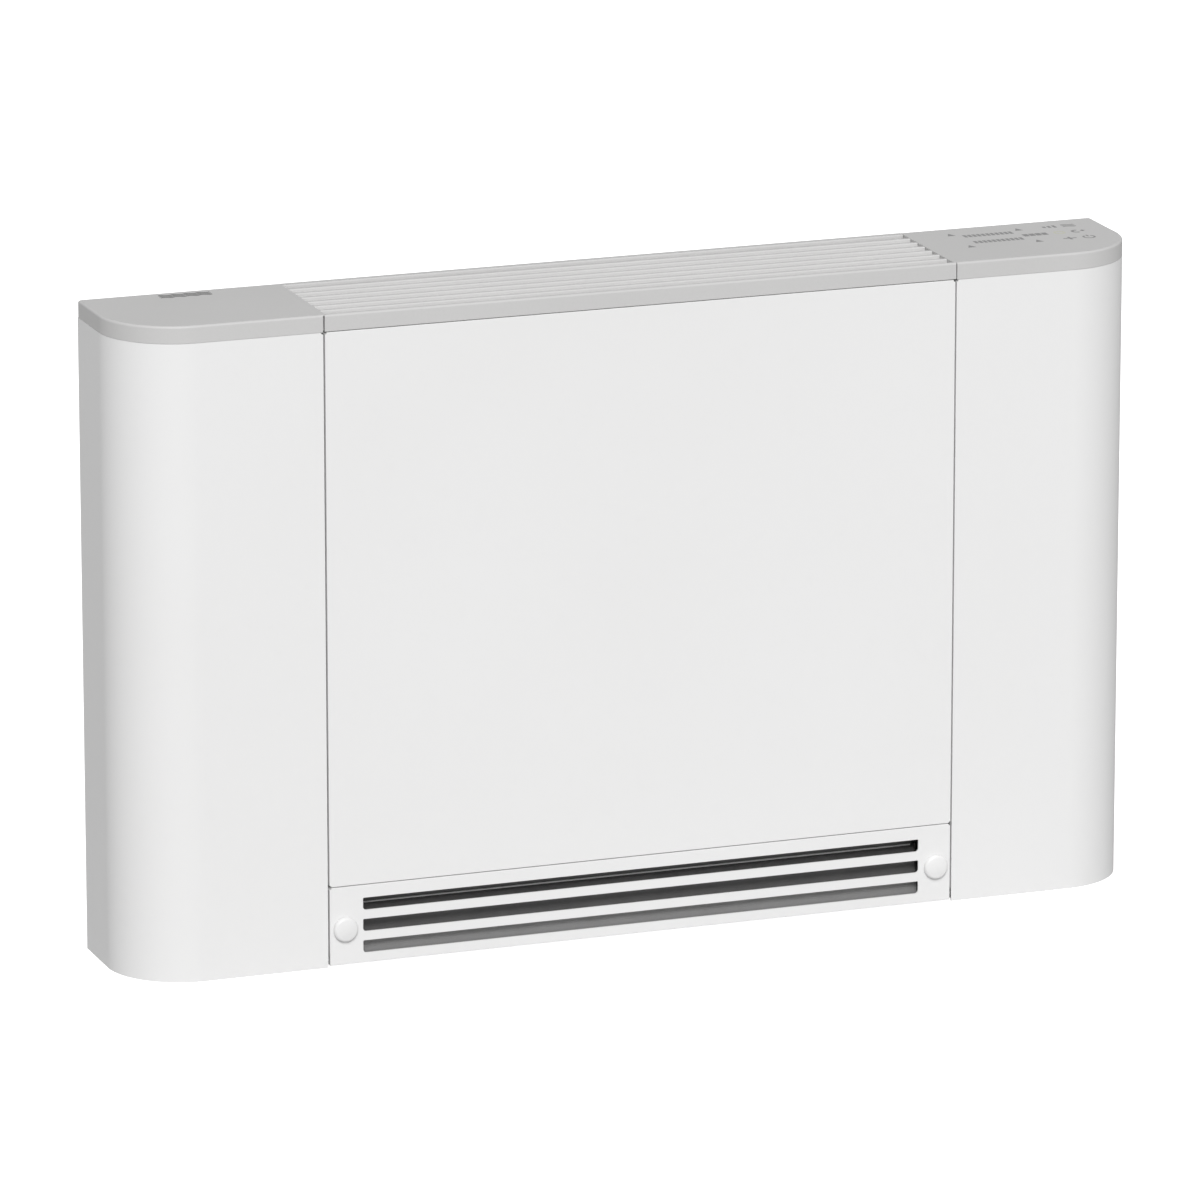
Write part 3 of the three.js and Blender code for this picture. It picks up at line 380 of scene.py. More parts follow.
def turned(profile, axis, centre, steps=64):
    """A solid of revolution: profile is (radius, distance along axis), from axis to axis or closed."""
    bm = bmesh.new()
    direction, side = AXES[axis]
    across = direction.cross(side)
    centre = Vector(centre)
    rows = []
    for radius, distance in profile:
        if radius < 1e-7:
            rows.append([bm.verts.new(centre + direction * distance)])
            continue
        row = []
        for i in range(steps):
            angle = 2 * math.pi * i / steps
            spoke = side * math.cos(angle) + across * math.sin(angle)
            row.append(bm.verts.new(centre + direction * distance + spoke * radius))
        rows.append(row)
    closed = profile[0][0] > 1e-7
    pairs = list(zip(rows, rows[1:])) + ([(rows[-1], rows[0])] if closed else [])
    for a, b in pairs:
        for i in range(steps):
            j = (i + 1) % steps
            if len(a) == 1:
                bm.faces.new((a[0], b[i], b[j]))
            elif len(b) == 1:
                bm.faces.new((a[i], a[j], b[0]))
            else:
                bm.faces.new((a[i], a[j], b[j], b[i]))
    bmesh.ops.recalc_face_normals(bm, faces=bm.faces)
    return bm


def in_mm(profile):
    """Turns pairs given in millimetres into metres."""
    return [(a * MM, b * MM) for a, b in profile]


def tube(points, radius, sides=20):
    """A round bar that follows a line of points."""
    rings = []
    normal = None
    for i, point in enumerate(points):
        here = Vector(point)
        ahead = Vector(points[min(i + 1, len(points) - 1)])
        behind = Vector(points[max(i - 1, 0)])
        along = (ahead - behind).normalized()
        if normal is None:
            normal = along.orthogonal().normalized()
        normal = (normal - along * normal.dot(along)).normalized()
        across = along.cross(normal)
        rings.append([
            here + radius * (normal * math.cos(a) + across * math.sin(a))
            for a in (2 * math.pi * k / sides for k in range(sides))])
    return loft(rings)


def mesh_object(name, bm, material):
    """Makes a scene object from bm, which is used up."""
    mesh = bpy.data.meshes.new(name)
    bm.to_mesh(mesh)
    bm.free()
    mesh.materials.append(material)
    piece = bpy.data.objects.new(name, mesh)
    bpy.context.scene.collection.objects.link(piece)
    return piece


def bake(piece):
    """Applies the piece's modifiers."""
    graph = bpy.context.evaluated_depsgraph_get()
    mesh = bpy.data.meshes.new_from_object(piece.evaluated_get(graph))
    piece.modifiers.clear()
    old = piece.data
    piece.data = mesh
    bpy.data.meshes.remove(old)


def join(*solids):
    """Puts several closed solids into one bmesh, side by side or touching."""
    whole = bmesh.new()
    for bm in solids:
        mesh = bpy.data.meshes.new("part")
        bm.to_mesh(mesh)
        bm.free()
        whole.from_mesh(mesh)
        bpy.data.meshes.remove(mesh)
    return whole


def boolean(piece, bm, operation="DIFFERENCE"):
    """Cuts from the piece, or adds to it, the solid in bm."""
    tool = mesh_object("tool", bm, piece.data.materials[0])
    modifier = piece.modifiers.new("boolean", "BOOLEAN")
    modifier.object = tool
    modifier.operation = operation
    modifier.solver = "EXACT"
    bake(piece)
    bpy.data.meshes.remove(tool.data)


def smooth(piece, angle=32):
    """Smooth shading that keeps flat faces flat next to their rounded edges."""
    for polygon in piece.data.polygons:
        polygon.use_smooth = True
    piece.data.set_sharp_from_angle(angle=math.radians(angle))
    modifier = piece.modifiers.new("flat faces", "WEIGHTED_NORMAL")
    modifier.keep_sharp = True
    modifier.weight = 100
    bake(piece)


def soften(piece, width, segments=3, angle=35):
    """Rounds the sharp edges, as a folded or moulded edge is."""
    modifier = piece.modifiers.new("edges", "BEVEL")
    modifier.width = width
    modifier.segments = segments
    modifier.limit_method = "ANGLE"
    modifier.angle_limit = math.radians(angle)
    modifier.use_clamp_overlap = True
    piece.data.materials.append(rubbed(piece.data.materials[0]))
    modifier.material = len(piece.data.materials) - 1
    bake(piece)
    smooth(piece, 50)


def node_body(node):
    """The body that a CAD node rides on."""
    for body, members in frame["record"]["behaviour"]["bodies"].items():
        if node in members:
            return body
    raise ValueError(node)


SLOT_OF = {entry["node"]: entry["material_slot"] for entry in frame["record"]["subparts"]}


def stand_for(piece, node):
    """The piece rides with the CAD node that it replaces, which is hidden."""
    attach(piece, node_body(node))
    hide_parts(node)


def detail(name, bm, material, slot, body="casing", rounding=None):
    """A small piece with no CAD node of its own. Rounding is the width and the segments of its edges."""
    piece = mesh_object(name, bm, material)
    if rounding:
        soften(piece, *rounding)
    else:
        smooth(piece)
    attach(piece, body)


def mirrored(bm):
    """Flips a right-hand part into a left-hand one."""
    bmesh.ops.scale(bm, vec=(-1, 1, 1), verts=bm.verts)
    bmesh.ops.reverse_faces(bm, faces=bm.faces)
    return bm


# ---------- casing ----------
def relief_hole(x, z):
    """Round relief punched where two folds of a sheet meet."""
    return turned(in_mm([(0, -1), (1.8, -1), (1.8, 14), (0, 14)]), "y", (x, FRONT, z), 20)


def side_panel(side):
    """Painted sheet: folded seam flange, flat front, quarter-round corner, flat side, back return."""
    x0, flange, back_return = SIDE_START - SEAM_FIT[side], 8 * MM, 12 * MM
    cx, cy = HALF - CORNER, FRONT + CORNER
    outline = [(x0, FRONT + flange), (x0, FRONT)]
    outline += arc(cx, cy, CORNER, -90, 0, 48)
    outline += [(HALF, BACK), (HALF - back_return, BACK)]
    outline += [(HALF - back_return, BACK - SHEET), (HALF - SHEET, BACK - SHEET)]
    outline += arc(cx, cy, CORNER - SHEET, 0, -90, 48)
    outline += [(x0 + SHEET, FRONT + SHEET), (x0 + SHEET, FRONT + flange)]
    bm = prism(outline, "z", PANEL_LOW.z, PANEL_HIGH.z)
    piece = mesh_object(f"{side}_side_panel_skin", bm if side == "right" else mirrored(bm), WHITE)
    sign = SIGN[side]
    low, high = sorted((sign * (x0 - MM), sign * (x0 + SHEET + MM)))
    boolean(piece, block(low, high, FRONT + SHEET, FRONT + flange + MM, -MM, 12 * MM))
    boolean(piece, relief_hole(sign * x0, PANEL_HIGH.z))
    soften(piece, 0.35 * MM, 2, 25)
    stand_for(piece, f"{side}_side_panel")


def rounded_box_ring(x0, x1, z0, z1, y, radius, steps=6):
    """Points round an upright rectangle with rounded corners."""
    ring = arc(x1 - radius, z0 + radius, radius, -90, 0, steps)
    ring += arc(x1 - radius, z1 - radius, radius, 0, 90, steps)
    ring += arc(x0 + radius, z1 - radius, radius, 90, 180, steps)
    ring += arc(x0 + radius, z0 + radius, radius, 180, 270, steps)
    return [(u, y, v) for u, v in ring]


def folded_tray(name, x0, x1, z0, z1, depth, corner=1.0 * MM, edge=0.6 * MM):
    """A sheet pan with its edges folded back: a flat face, rounded folds and open behind."""
    rings = []
    for inset, y in ((edge, 0.0), (edge * 0.29, edge * 0.29), (0.0, edge), (0.0, depth)):
        rings.append(rounded_box_ring(x0 + inset, x1 - inset, z0 + inset, z1 - inset, FRONT + y, corner))
    for inset, y in ((SHEET, depth), (SHEET, SHEET)):
        rings.append(rounded_box_ring(x0 + inset, x1 - inset, z0 + inset, z1 - inset, FRONT + y, corner * 0.4))
    return mesh_object(name, loft(rings), WHITE)


def front_panel():
    """Painted sheet pan between the two seams, with a relief at each corner."""
    right = CENTRE_HIGH.x + SEAM_FIT["right"] / 2
    piece = folded_tray("front_panel_skin", CENTRE_LOW.x, right, CENTRE_LOW.z, CENTRE_HIGH.z, 12 * MM)
    for x in (CENTRE_LOW.x, CENTRE_HIGH.x):
        for z in (CENTRE_LOW.z, CENTRE_HIGH.z):
            boolean(piece, relief_hole(x, z))
    smooth(piece, 40)
    stand_for(piece, "front_panel")


SLOT_HALF = 270 * MM
SLOT_TALL = 11.6 * MM
SLOT_PITCH = 20.1 * MM
SLOT_FIRST = 10.9 * MM


def slot_outline(z0):
    """A long intake slot: tight corners above, rounder ones below."""
    z1 = z0 + SLOT_TALL
    lower, upper = 3 * MM, 1 * MM
    ring = arc(SLOT_HALF - lower, z0 + lower, lower, -90, 0, 8)
    ring += arc(SLOT_HALF - upper, z1 - upper, upper, 0, 90, 4)
    ring += arc(-SLOT_HALF + upper, z1 - upper, upper, 90, 180, 4)
    ring += arc(-SLOT_HALF + lower, z0 + lower, lower, 180, 270, 8)
    return ring


def intake_grille():
    """The flap: a sheet pan with three slots, knob holes and pin holes in its end flanges."""
    low, high = GRILLE_LOW, GRILLE_HIGH
    piece = folded_tray("intake_grille_skin", low.x, high.x, low.z, high.z, 10 * MM)
    for row in range(3):
        boolean(piece, prism(slot_outline(SLOT_FIRST + row * SLOT_PITCH), "y", FRONT - MM, FRONT + SHEET + MM))
    for side in ("left", "right"):
        stem = joint_place(f"{side}_catch_turn")
        hole = turned(in_mm([(0, -1), (4.6, -1), (4.6, 3), (0, 3)]), "y", (stem.x, FRONT, stem.z), 32)
        boolean(piece, hole)
    pin = joint_place("grille_hinge")
    bore = turned([(0, -0.4), (1.95 * MM, -0.4), (1.95 * MM, 0.4), (0, 0.4)], "x", pin, 24)
    boolean(piece, bore)
    relief = block(low.x + 3 * MM, high.x - 3 * MM, FRONT + 7 * MM, FRONT + 12 * MM, low.z - MM, high.z + MM)
    boolean(piece, relief)
    for x in (low.x, high.x):
        boolean(piece, relief_hole(x, high.z))
    soften(piece, 0.3 * MM, 2, 40)
    stand_for(piece, "intake_grille")


# ---------- filter ----------
FILTER_TALL = 49.5 * MM
FILTER_THICK = 4 * MM
FILTER_LEAN = math.radians(14)
FILTER_CELLS = 6
FILTER_HALF = span("filter_frame")[1].x + 1.6 * MM


def lean_back(bm):
    """Turns a part drawn upright about the filter's lower front edge, and puts it in the flap."""
    low, _ = span("filter_frame")
    foot = Vector((0, low.y, low.z + FILTER_THICK * math.sin(FILTER_LEAN)))
    bm.transform(Matrix.Translation(foot) @ Matrix.Rotation(-FILTER_LEAN, 4, "X"))
    return bm


def filter_frame():
    """Moulded frame with cross ribs behind the cloth."""
    half, border, rim, rib, foot = FILTER_HALF, 4 * MM, 1.8 * MM, 2.5 * MM, 2.6 * MM
    front, back, thin = 0.4 * MM, FILTER_THICK, 2 * MM
    outer = rounded_box_ring(-half, half, 0, FILTER_TALL, 0, 1.5 * MM)
    inner = rounded_box_ring(-half + rim, half - rim, foot, FILTER_TALL - border, 0, 1 * MM)
    rings = [[(u, y, v) for u, _, v in ring] for ring, y in (
        (outer, front), (outer, back), (inner, back), (inner, front))]
    ribs = []
    step = 2 * (half - rim) / FILTER_CELLS
    for i in range(1, FILTER_CELLS):
        x = -half + rim + i * step
        ribs.append(block(x - rib / 2, x + rib / 2, thin, back, foot - MM, FILTER_TALL - border + MM))
    centre = FILTER_TALL / 2
    ribs.append(block(-half + MM, half - MM, thin, back, centre - rib / 2, centre + rib / 2))
    piece = mesh_object("filter_frame_moulding", lean_back(join(loft(rings, hoop=True), *ribs)), BLACK)
    soften(piece, 0.4 * MM, 2)
    stand_for(piece, "filter_frame")


def filter_bead():
    """Sealing bead along the top edge of the filter, made pale as a painted highlight of the lit top edge."""
    end = span("filter_frame")[1].x - 3 * MM
    profile = arc(0.9 * MM, FILTER_TALL - 0.9 * MM, 0.9 * MM, 0, 360, 14)[:-1]
    detail("filter_top_bead", lean_back(prism(profile, "x", -end, end)), BEAD_PAINTED_HIGHLIGHT, "dark_plastic", "flap")


def filter_foam_lip():
    """Foam lip above the bead, which closes the gap between the filter and the top of the flap; its grey tone is
    painted shade, set for how dim that shaded gap reads.
    """
    front, thick, rise, end = 2.0 * MM, 1.4 * MM, 4.0 * MM, 3 * MM
    ring = rounded_box_ring(-FILTER_HALF + end, FILTER_HALF - end, FILTER_TALL - MM, FILTER_TALL + rise, 0, MM)
    strip = prism([(x, z) for x, _, z in ring], "y", front, front + thick)
    detail("filter_top_lip", lean_back(strip), SHADE_FILL_FOAM, "filter_cloth", "flap", (0.3 * MM, 2))


def filter_cloth_sheet():
    """Pleated cloth that fills the frame's window."""
    half, foot, border = FILTER_HALF - 1.4 * MM, 2.2 * MM, 3.4 * MM
    pleats = 28
    ahead, behind = [], []
    for i in range(pleats + 1):
        z = foot + (FILTER_TALL - foot - border) * i / pleats
        y = (0.7 + 0.7 * (i % 2)) * MM
        ahead.append((y, z))
        behind.append((y + 0.4 * MM, z))
    piece = mesh_object("filter_pleats", lean_back(prism(ahead + behind[::-1], "x", -half, half)), CLOTH)
    smooth(piece, 50)
    stand_for(piece, "filter_mesh")


# ---------- plastic top ----------
EDGE_ROLL = 2.2 * MM


def cap_ring(inset, z, inboard):
    """Outline of the right cap at one height, from its inboard front edge round to the back."""
    cx, cy = HALF - CORNER, FRONT + CORNER
    back_corner = 2 * MM
    x, y = HALF - inset - back_corner, BACK - inset - back_corner
    ring = [(inboard, FRONT + inset)] + arc(cx, cy, CORNER - inset, -90, 0, 40)
    ring += arc(x, y, back_corner, 0, 90, 6) + [(inboard, BACK - inset)]
    return [(u, v, z) for u, v in ring]


def cap(side):
    """Moulded cap: straight skirt, rolled edge, flat top, hollow below."""
    roll, wall, play = EDGE_ROLL, PLASTIC_WALL, 0.1 * MM
    low, high = PANEL_HIGH.z + play, CAP_HIGH.z - play
    rings = [cap_ring(0.35 * MM, low, SIDE_START), cap_ring(play, low + 0.3 * MM, SIDE_START)]
    for step in range(9):
        angle = math.radians(90 * step / 8)
        z = high - roll + roll * math.sin(angle)
        rings.append(cap_ring(play + roll * (1 - math.cos(angle)), z, SIDE_START))
    inner = SIDE_START + wall
    piece = mesh_object(f"{side}_cap_shell", loft(rings), GREY)
    boolean(piece, loft([cap_ring(wall, low - MM, inner), cap_ring(wall, high - wall - 0.4 * MM, inner)]))
    lip = block(CAP_LIP, SIDE_START + MM, FRONT + roll, BACK - roll, high - 1.6 * MM, high)
    boolean(piece, lip, "UNION")
    if side == "left":
        flip(piece)
    smooth(piece)
    stand_for(piece, f"{side}_cap")


def flip(piece):
    """Turns a finished right-hand piece into the left-hand one."""
    bm = bmesh.new()
    bm.from_mesh(piece.data)
    mirrored(bm)
    bm.to_mesh(piece.data)
    bm.free()


# each blade's top falls from nose to tail; the front strip's top falls the same way
BLADE_DROP = 3.4 * MM
BLADE_SKIN = 1.3 * MM
BLADE_PITCH = 17.8 * MM
BLADE_ROLL = 1.3 * MM


def front_trim():
    """Moulded strip along the front of the louvre, notched where the caps' lips pass it."""
    low, high = span("louvre_front_trim")
    roll, wall, play = EDGE_ROLL, PLASTIC_WALL, 0.15 * MM
    top, foot = high.z - 0.1 * MM, low.z - 0.12 * MM
    outline = [(FRONT + 0.5 * MM, foot), (FRONT + wall, foot), (FRONT + wall, top - wall - 1.4 * MM)]
    outline += [(high.y, top - BLADE_DROP - BLADE_SKIN), (high.y, top - BLADE_DROP)]
    outline += arc(FRONT + roll + play, top - roll, roll, 90, 180, 10)
    outline += [(FRONT + play, foot + 0.4 * MM)]
    piece = mesh_object("louvre_front_strip", prism(outline, "x", low.x, high.x + 2.6 * SEAM_FIT["right"]), GREY)
    for sign in (-1, 1):
        inner, outer = sorted((sign * BLADE_HALF, sign * 303 * MM))
        boolean(piece, block(inner, outer, FRONT + roll - 0.3 * MM, high.y + MM, low.z - MM, high.z + MM))
    soften(piece, 0.25 * MM, 2, 40)
    stand_for(piece, "louvre_front_trim")


def blade_outline(y, top):
    """Cross-section of a blade: rolled nose, top falling to the tail, thin skin."""
    nose, tail = y - BLADE_PITCH / 2, y + BLADE_PITCH / 2 - 0.06 * MM
    roll = BLADE_ROLL
    outline = [(nose + 0.2 * MM, top - 4.2 * MM), (nose + 1.2 * MM, top - 4.2 * MM)]
    outline += [(nose + 2.3 * MM, top - BLADE_SKIN - 0.6 * MM)]
    outline += [(tail, top - BLADE_DROP - BLADE_SKIN), (tail, top - BLADE_DROP)]
    outline += arc(nose + roll, top - roll, roll, 78, 180, 9)
    outline += [(nose, top - 4.0 * MM)]
    return outline


def louvre_blade(index):
    """Blade with an ear and a pin at each end; the left ear also carries the crank pin of the link."""
    node = f"louvre_blade_{index}"
    top = span(node)[1].z
    pivot = joint_place("louvre_tilt" if index == 1 else f"blade_{index}_tilt")
    crank = joint_place("link_pivot") - joint_place("louvre_tilt") + pivot
    half = BLADE_HALF
    ear, pin, boss, chamfer = 2 * MM, 1.5 * MM, 2.4 * MM, 0.3 * MM
    skin = prism(blade_outline(pivot.y, top - 0.1 * MM), "x", -half, half)
    right_ear = [(pivot.y + boss, top - 2.9 * MM), (pivot.y - boss, top - 2.4 * MM)]
    right_ear += arc(pivot.y, pivot.z, boss, 180, 360, 12)
    left_ear = [(pivot.y + 6 * MM, top - 3.2 * MM), (pivot.y - boss, top - 2.4 * MM)]
    left_ear += arc(pivot.y, pivot.z, boss, 180, 235, 6)
    left_ear += arc(crank.y, crank.z, boss, 235, 395, 14)
    parts = [skin, prism(right_ear, "x", half - ear, half), prism(left_ear, "x", -half, -half + ear)]
    for sign in (-1, 1):
        tip = half + 1.9 * MM
        shape = [(0, half - MM), (pin, half - MM), (pin, tip - chamfer), (pin - chamfer, tip), (0, tip)]
        parts.append(turned([(r, sign * d) for r, d in shape], "x", (0, pivot.y, pivot.z), 24))
    start, end = -half + MM, -half + 5 * MM
    shape = [(0, start), (pin, start), (pin, end - chamfer), (pin - chamfer, end), (0, end)]
    parts.append(turned(shape, "x", (0, crank.y, crank.z), 24))
    piece = mesh_object(f"{node}_moulding", join(*parts), LIT_BLADE_GREY)
    smooth(piece)
    stand_for(piece, node)


def rear_rail():
    """Fixed strip behind the last blade, with a rolled nose and a skirt down the back."""
    low, high = span("louvre_rear_rail")
    face, back, top = low.y, high.y, high.z - 0.1 * MM
    roll, fold = BLADE_ROLL, 1.6 * MM
    outline = [(face, top - 4.2 * MM), (face + 1.6 * MM, top - 4.2 * MM), (face + 1.6 * MM, top - 3 * MM)]
    outline += [(back - 1.8 * MM, top - 3.4 * MM), (back - 1.8 * MM, low.z), (back, low.z)]
    outline += arc(back - fold, top - fold, fold, 0, 90, 6)
    outline += arc(face + roll, top - roll, roll, 90, 180, 8)
    piece = mesh_object("louvre_rear_strip", prism(outline, "x", low.x, high.x), GREY)
    smooth(piece)
    stand_for(piece, "louvre_rear_rail")


# ---------- knobs ----------
def knob(side):
    """Round catch knob: crowned face, soft rim, stem and cross bar behind the grille."""
    place = joint_place(f"{side}_catch_turn")
    low, high = span(f"{side}_knob")
    proud = FRONT - low.y
    radius = (high.x - low.x) / 2
    rim, crown, steps = 3.0 * MM, 1.5 * MM, 8
    profile = [(0, -proud)]
    for step in range(1, steps + 1):
        r = (radius - rim) * step / steps
        profile.append((r, -proud + crown * (r / radius) ** 2))
    edge = profile[-1][1]
    for step in range(1, steps + 1):
        angle = math.radians(90 * step / steps)
        profile.append((radius - rim + rim * math.sin(angle), edge + rim * (1 - math.cos(angle))))
    profile += [(radius, -0.6 * MM), (radius - 0.4 * MM, -0.25 * MM)] + in_mm([(4, -0.25), (4, 11), (0, 11)])
    face = turned(profile, "y", (place.x, FRONT, place.z), 96)
    long, tall = 6 * MM, 2.5 * MM
    bar = block(place.x - long, place.x + long, FRONT + 8 * MM, FRONT + 10.9 * MM, place.z - tall, place.z + tall)
    piece = mesh_object(f"{side}_knob_turning", join(face, bar), KNOB_WHITE)
    smooth(piece, 35)
    stand_for(piece, f"{side}_knob")


# ---------- printed keypad ----------
def print_patch(name, outlines, material):
    """Ink a few hundredths of a millimetre thick, laid on a cap's top face."""
    base = TOP - 0.115 * MM
    piece = mesh_object(name, join(*[prism(o, "z", base, TOP - 0.06 * MM) for o in outlines]), material)
    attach(piece, "casing")


def bar_at(x, y, length, width):
    """A drawn bar, given in millimetres, as a closed outline."""
    a, b = length / 2, width / 2
    return in_mm([(x - a, y - b), (x + a, y - b), (x + a, y + b), (x - a, y + b)])


def ring_sector(x, y, radius, width, start, end):
    """A drawn ring or part of one, as a closed outline."""
    return in_mm(arc(x, y, radius, start, end, 20) + arc(x, y, radius - width, end, start, 20))


def wave_line(x, y, length, width, swing, periods=1):
    """A drawn wave, as a closed outline."""
    upper, lower = [], []
    count = 24 * periods
    for i in range(count + 1):
        t = i / count
        height = y + swing * math.sin(2 * math.pi * periods * t)
        upper.append((x + length * (t - 0.5), height + width / 2))
        lower.append((x + length * (t - 0.5), height - width / 2))
    return in_mm(lower + upper[::-1])


# places of the printed marks on the caps, x and y in millimetres
KEY_ROWS = (44, 19, -6)
KEY_COLUMNS = (438.5, 457.5)
SCALE_ENDS = (340, 407)


def key_symbols(x, y, kind):
    """Plain pictograms: bars for fan speed, ring for power, moon and star for night, waves for heat, or a plus."""
    if kind == "speed":
        return [bar_at(x + 5 * (i - 1), y, 3, 5 + 2 * i) for i in range(3)]
    if kind == "power":
        return [ring_sector(x, y, 6.2, 2, 125, 415), bar_at(x, y + 4.4, 2, 5.8)]
    if kind == "night":
        star = [bar_at(x + 4.4, y + 1.5, 4.6, 1.8), bar_at(x + 4.4, y + 1.5, 1.8, 4.6)]
        return [ring_sector(x - 2, y, 5.4, 2.6, 70, 290)] + star
    if kind == "heat":
        return [wave_line(x, y + 3.6 * (i - 1), 12.6, 2.0, 0.8) for i in range(3)]
    return [bar_at(x - 3.9, y, 5.2, 2.4), bar_at(x + 3.9, y, 5.2, 2.4), bar_at(x, y, 2.6, 10.4)]


def keypad():
    """Touch symbols on the right cap: two scales between end marks, a dashed bar and a block of six keys."""
    marks = []
    for row in (KEY_ROWS[0], KEY_ROWS[2]):
        for column in SCALE_ENDS:
            marks.append(in_mm([(column - 4, row - 4.4), (column + 4, row - 4.4), (column, row + 4.8)]))
    for row in (KEY_ROWS[0] - 10, KEY_ROWS[1] - 11):
        for i in range(11):
            marks.append(bar_at(351 + 4.5 * i, row, 3.2, 9.2))
    for i in range(4):
        marks.append(bar_at(405 + 6.2 * i, KEY_ROWS[1], 5.2, 9))
    print_patch("keypad_scales", marks, INK)
    kinds = (("speed", "heat"), (None, "night"), ("plus", "power"))
    keys = []
    for row, pair in zip(KEY_ROWS, kinds):
        for column, kind in zip(KEY_COLUMNS, pair):
            if kind:
                keys += key_symbols(column, row, kind)
    print_patch("keypad_keys", keys, INK)
    print_patch("keypad_lamp", [ring_sector(KEY_COLUMNS[0], KEY_ROWS[1], 6, 2.8, 0, 350)], INK_PALE)


def air_emblem():
    """Plain air symbol on the left cap: three long waves."""
    waves = [wave_line(-394, 54 + 4.2 * (i - 1), 48, 2.4, 1.0, 4) for i in range(3)]
    print_patch("air_symbol", waves, INK_DARK)


# ---------- general inner parts ----------
def finished(node, width):
    """The CAD solid with its facets merged into clean faces, its edges rounded and its curves smooth."""
    bm = bmesh.new()
    bm.from_mesh(frame["nodes"][node].data)
    bmesh.ops.remove_doubles(bm, verts=bm.verts, dist=0.005 * MM)
    bmesh.ops.dissolve_limit(bm, angle_limit=math.radians(1), verts=bm.verts, edges=bm.edges)
    piece = mesh_object(f"{node}_finished", bm, SLOT_LOOKS[SLOT_OF[node]])
    soften(piece, width, 2, 35)
    stand_for(piece, node)


def round_part(node, *solids, name="turning"):
    """A CAD node made again from finer turned and lofted solids."""
    piece = mesh_object(f"{node}_{name}", join(*solids), SLOT_LOOKS[SLOT_OF[node]])
    smooth(piece)
    stand_for(piece, node)


def rod(radius, start, end, axis, centre, edge=0.4 * MM, steps=40):
    """A round bar with chamfered ends, from start to end along one axis."""
    profile = [(0, start), (radius - edge, start), (radius, start + edge)]
    profile += [(radius, end - edge), (radius - edge, end), (0, end)]
    return turned(profile, axis, centre, steps)


def sleeve(radius, bore, start, end, axis, centre, edge=0.4 * MM, steps=40):
    """A round bar with a hole right through it."""
    profile = [(bore, start), (radius - edge, start), (radius, start + edge)]
    profile += [(radius, end - edge), (radius - edge, end), (bore, end)]
    return turned(profile, axis, centre, steps)


def screw_head(axis, place, sign, radius=3.0 * MM):
    """A round screw head with a socket, standing on the face at place."""
    tall, socket = radius * 0.6, radius * 0.45
    profile = [(0, -0.5 * MM), (radius, -0.5 * MM), (radius, tall * 0.3)]
    profile += [(radius * 0.85, tall * 0.8), (radius * 0.6, tall), (socket, tall)]
    profile += [(socket, tall * 0.2), (0, tall * 0.2)]
    return turned([(r, sign * d) for r, d in profile], axis, place, 24)


def screw_set(name, heads):
    """Several screw heads as one piece."""
    detail(name, join(*heads), STEEL, "bright_steel")


def hexagon(radius, z0, z1, x, y, bore=0.0):
    """A hexagon nut about a vertical axis, with chamfered corners."""
    chamfer = 1.2 * MM
    rings = []
    for scale, z in ((0.9, z0), (1.0, z0 + chamfer), (1.0, z1 - chamfer), (0.9, z1)):
        rings.append([(u, v, z) for u, v in arc(x, y, radius * scale, 90, 390, 5)])
    if not bore:
        return loft(rings)
    hole = [[(u, v, z) for u, v in arc(x, y, bore, 90, 390, 5)] for z in (z1, z0)]
    return loft(rings + hole, hoop=True)


# ---------- chassis ----------
def capsule(x, z0, z1, half):
    """Upright slot outline with round ends."""
    return arc(x, z1 - half, half, 0, 180, 12) + arc(x, z0 + half, half, 180, 360, 12)


def pressed_channel(x, z0, z1):
    """The dent of a stiffening rib, sloping in from the back face."""
    wide, narrow, deep = 7 * MM, 4.6 * MM, 1.1 * MM
    rings = []
    for half, y in ((wide, BACK + 0.3 * MM), (wide, BACK), (narrow, BACK - deep)):
        trim = wide - half
        rings.append([(u, y, v) for u, v in capsule(x, z0 + trim, z1 - trim, half)])
    return loft(rings)


def back_plate():
    """Galvanised back with keyholes, a pipe window, stiffening ribs and flush screws."""
    low, high = span("back_plate")
    y0, y1 = low.y - MM, high.y + MM
    piece = mesh_object("back_plate_pressing", block(low.x, high.x, low.y, high.y, low.z, high.z), ZINC)
    cutters = []
    for x in (-250 * MM, 250 * MM):
        for z in (120 * MM, 520 * MM):
            ring = arc(x, z, 6 * MM, 117.2, 422.8, 28)
            ring += arc(x, z + 13.25 * MM, 2.75 * MM, 0, 180, 10)
            cutters.append(prism(ring, "y", y0, y1))
    window = rounded_box_ring(-430 * MM, -350 * MM, 60 * MM, 200 * MM, 0, 5 * MM)
    cutters.append(prism([(u, v) for u, _, v in window], "y", y0, y1))
    for x in (-180, -90, 0, 90, 180, 340, 430):
        cutters.append(pressed_channel(x * MM, 40 * MM, high.z - 40 * MM))
    cutters.append(pressed_channel(-390 * MM, 240 * MM, high.z - 40 * MM))
    screws = []
    for x in (low.x + 12 * MM, -BULKHEAD, BULKHEAD, high.x - 12 * MM):
        for z in (19 * MM, 560 * MM):
            cone = [(0, 0.3), (3.8, 0.3), (3.8, 0), (2.6, -1.1), (0, -1.1)]
            cutters.append(turned(in_mm(cone), "y", (x, BACK, z), 24))
            head = [(0, -1.2), (2.4, -1.2), (3.4, -0.2), (3.2, -0.05), (1.3, -0.05), (1.3, -0.8), (0, -0.8)]
            screws.append(turned(in_mm(head), "y", (x, BACK, z), 24))
    boolean(piece, join(*cutters))
    soften(piece, 0.25 * MM, 2, 25)
    stand_for(piece, "back_plate")
    screw_set("back_plate_screws", screws)


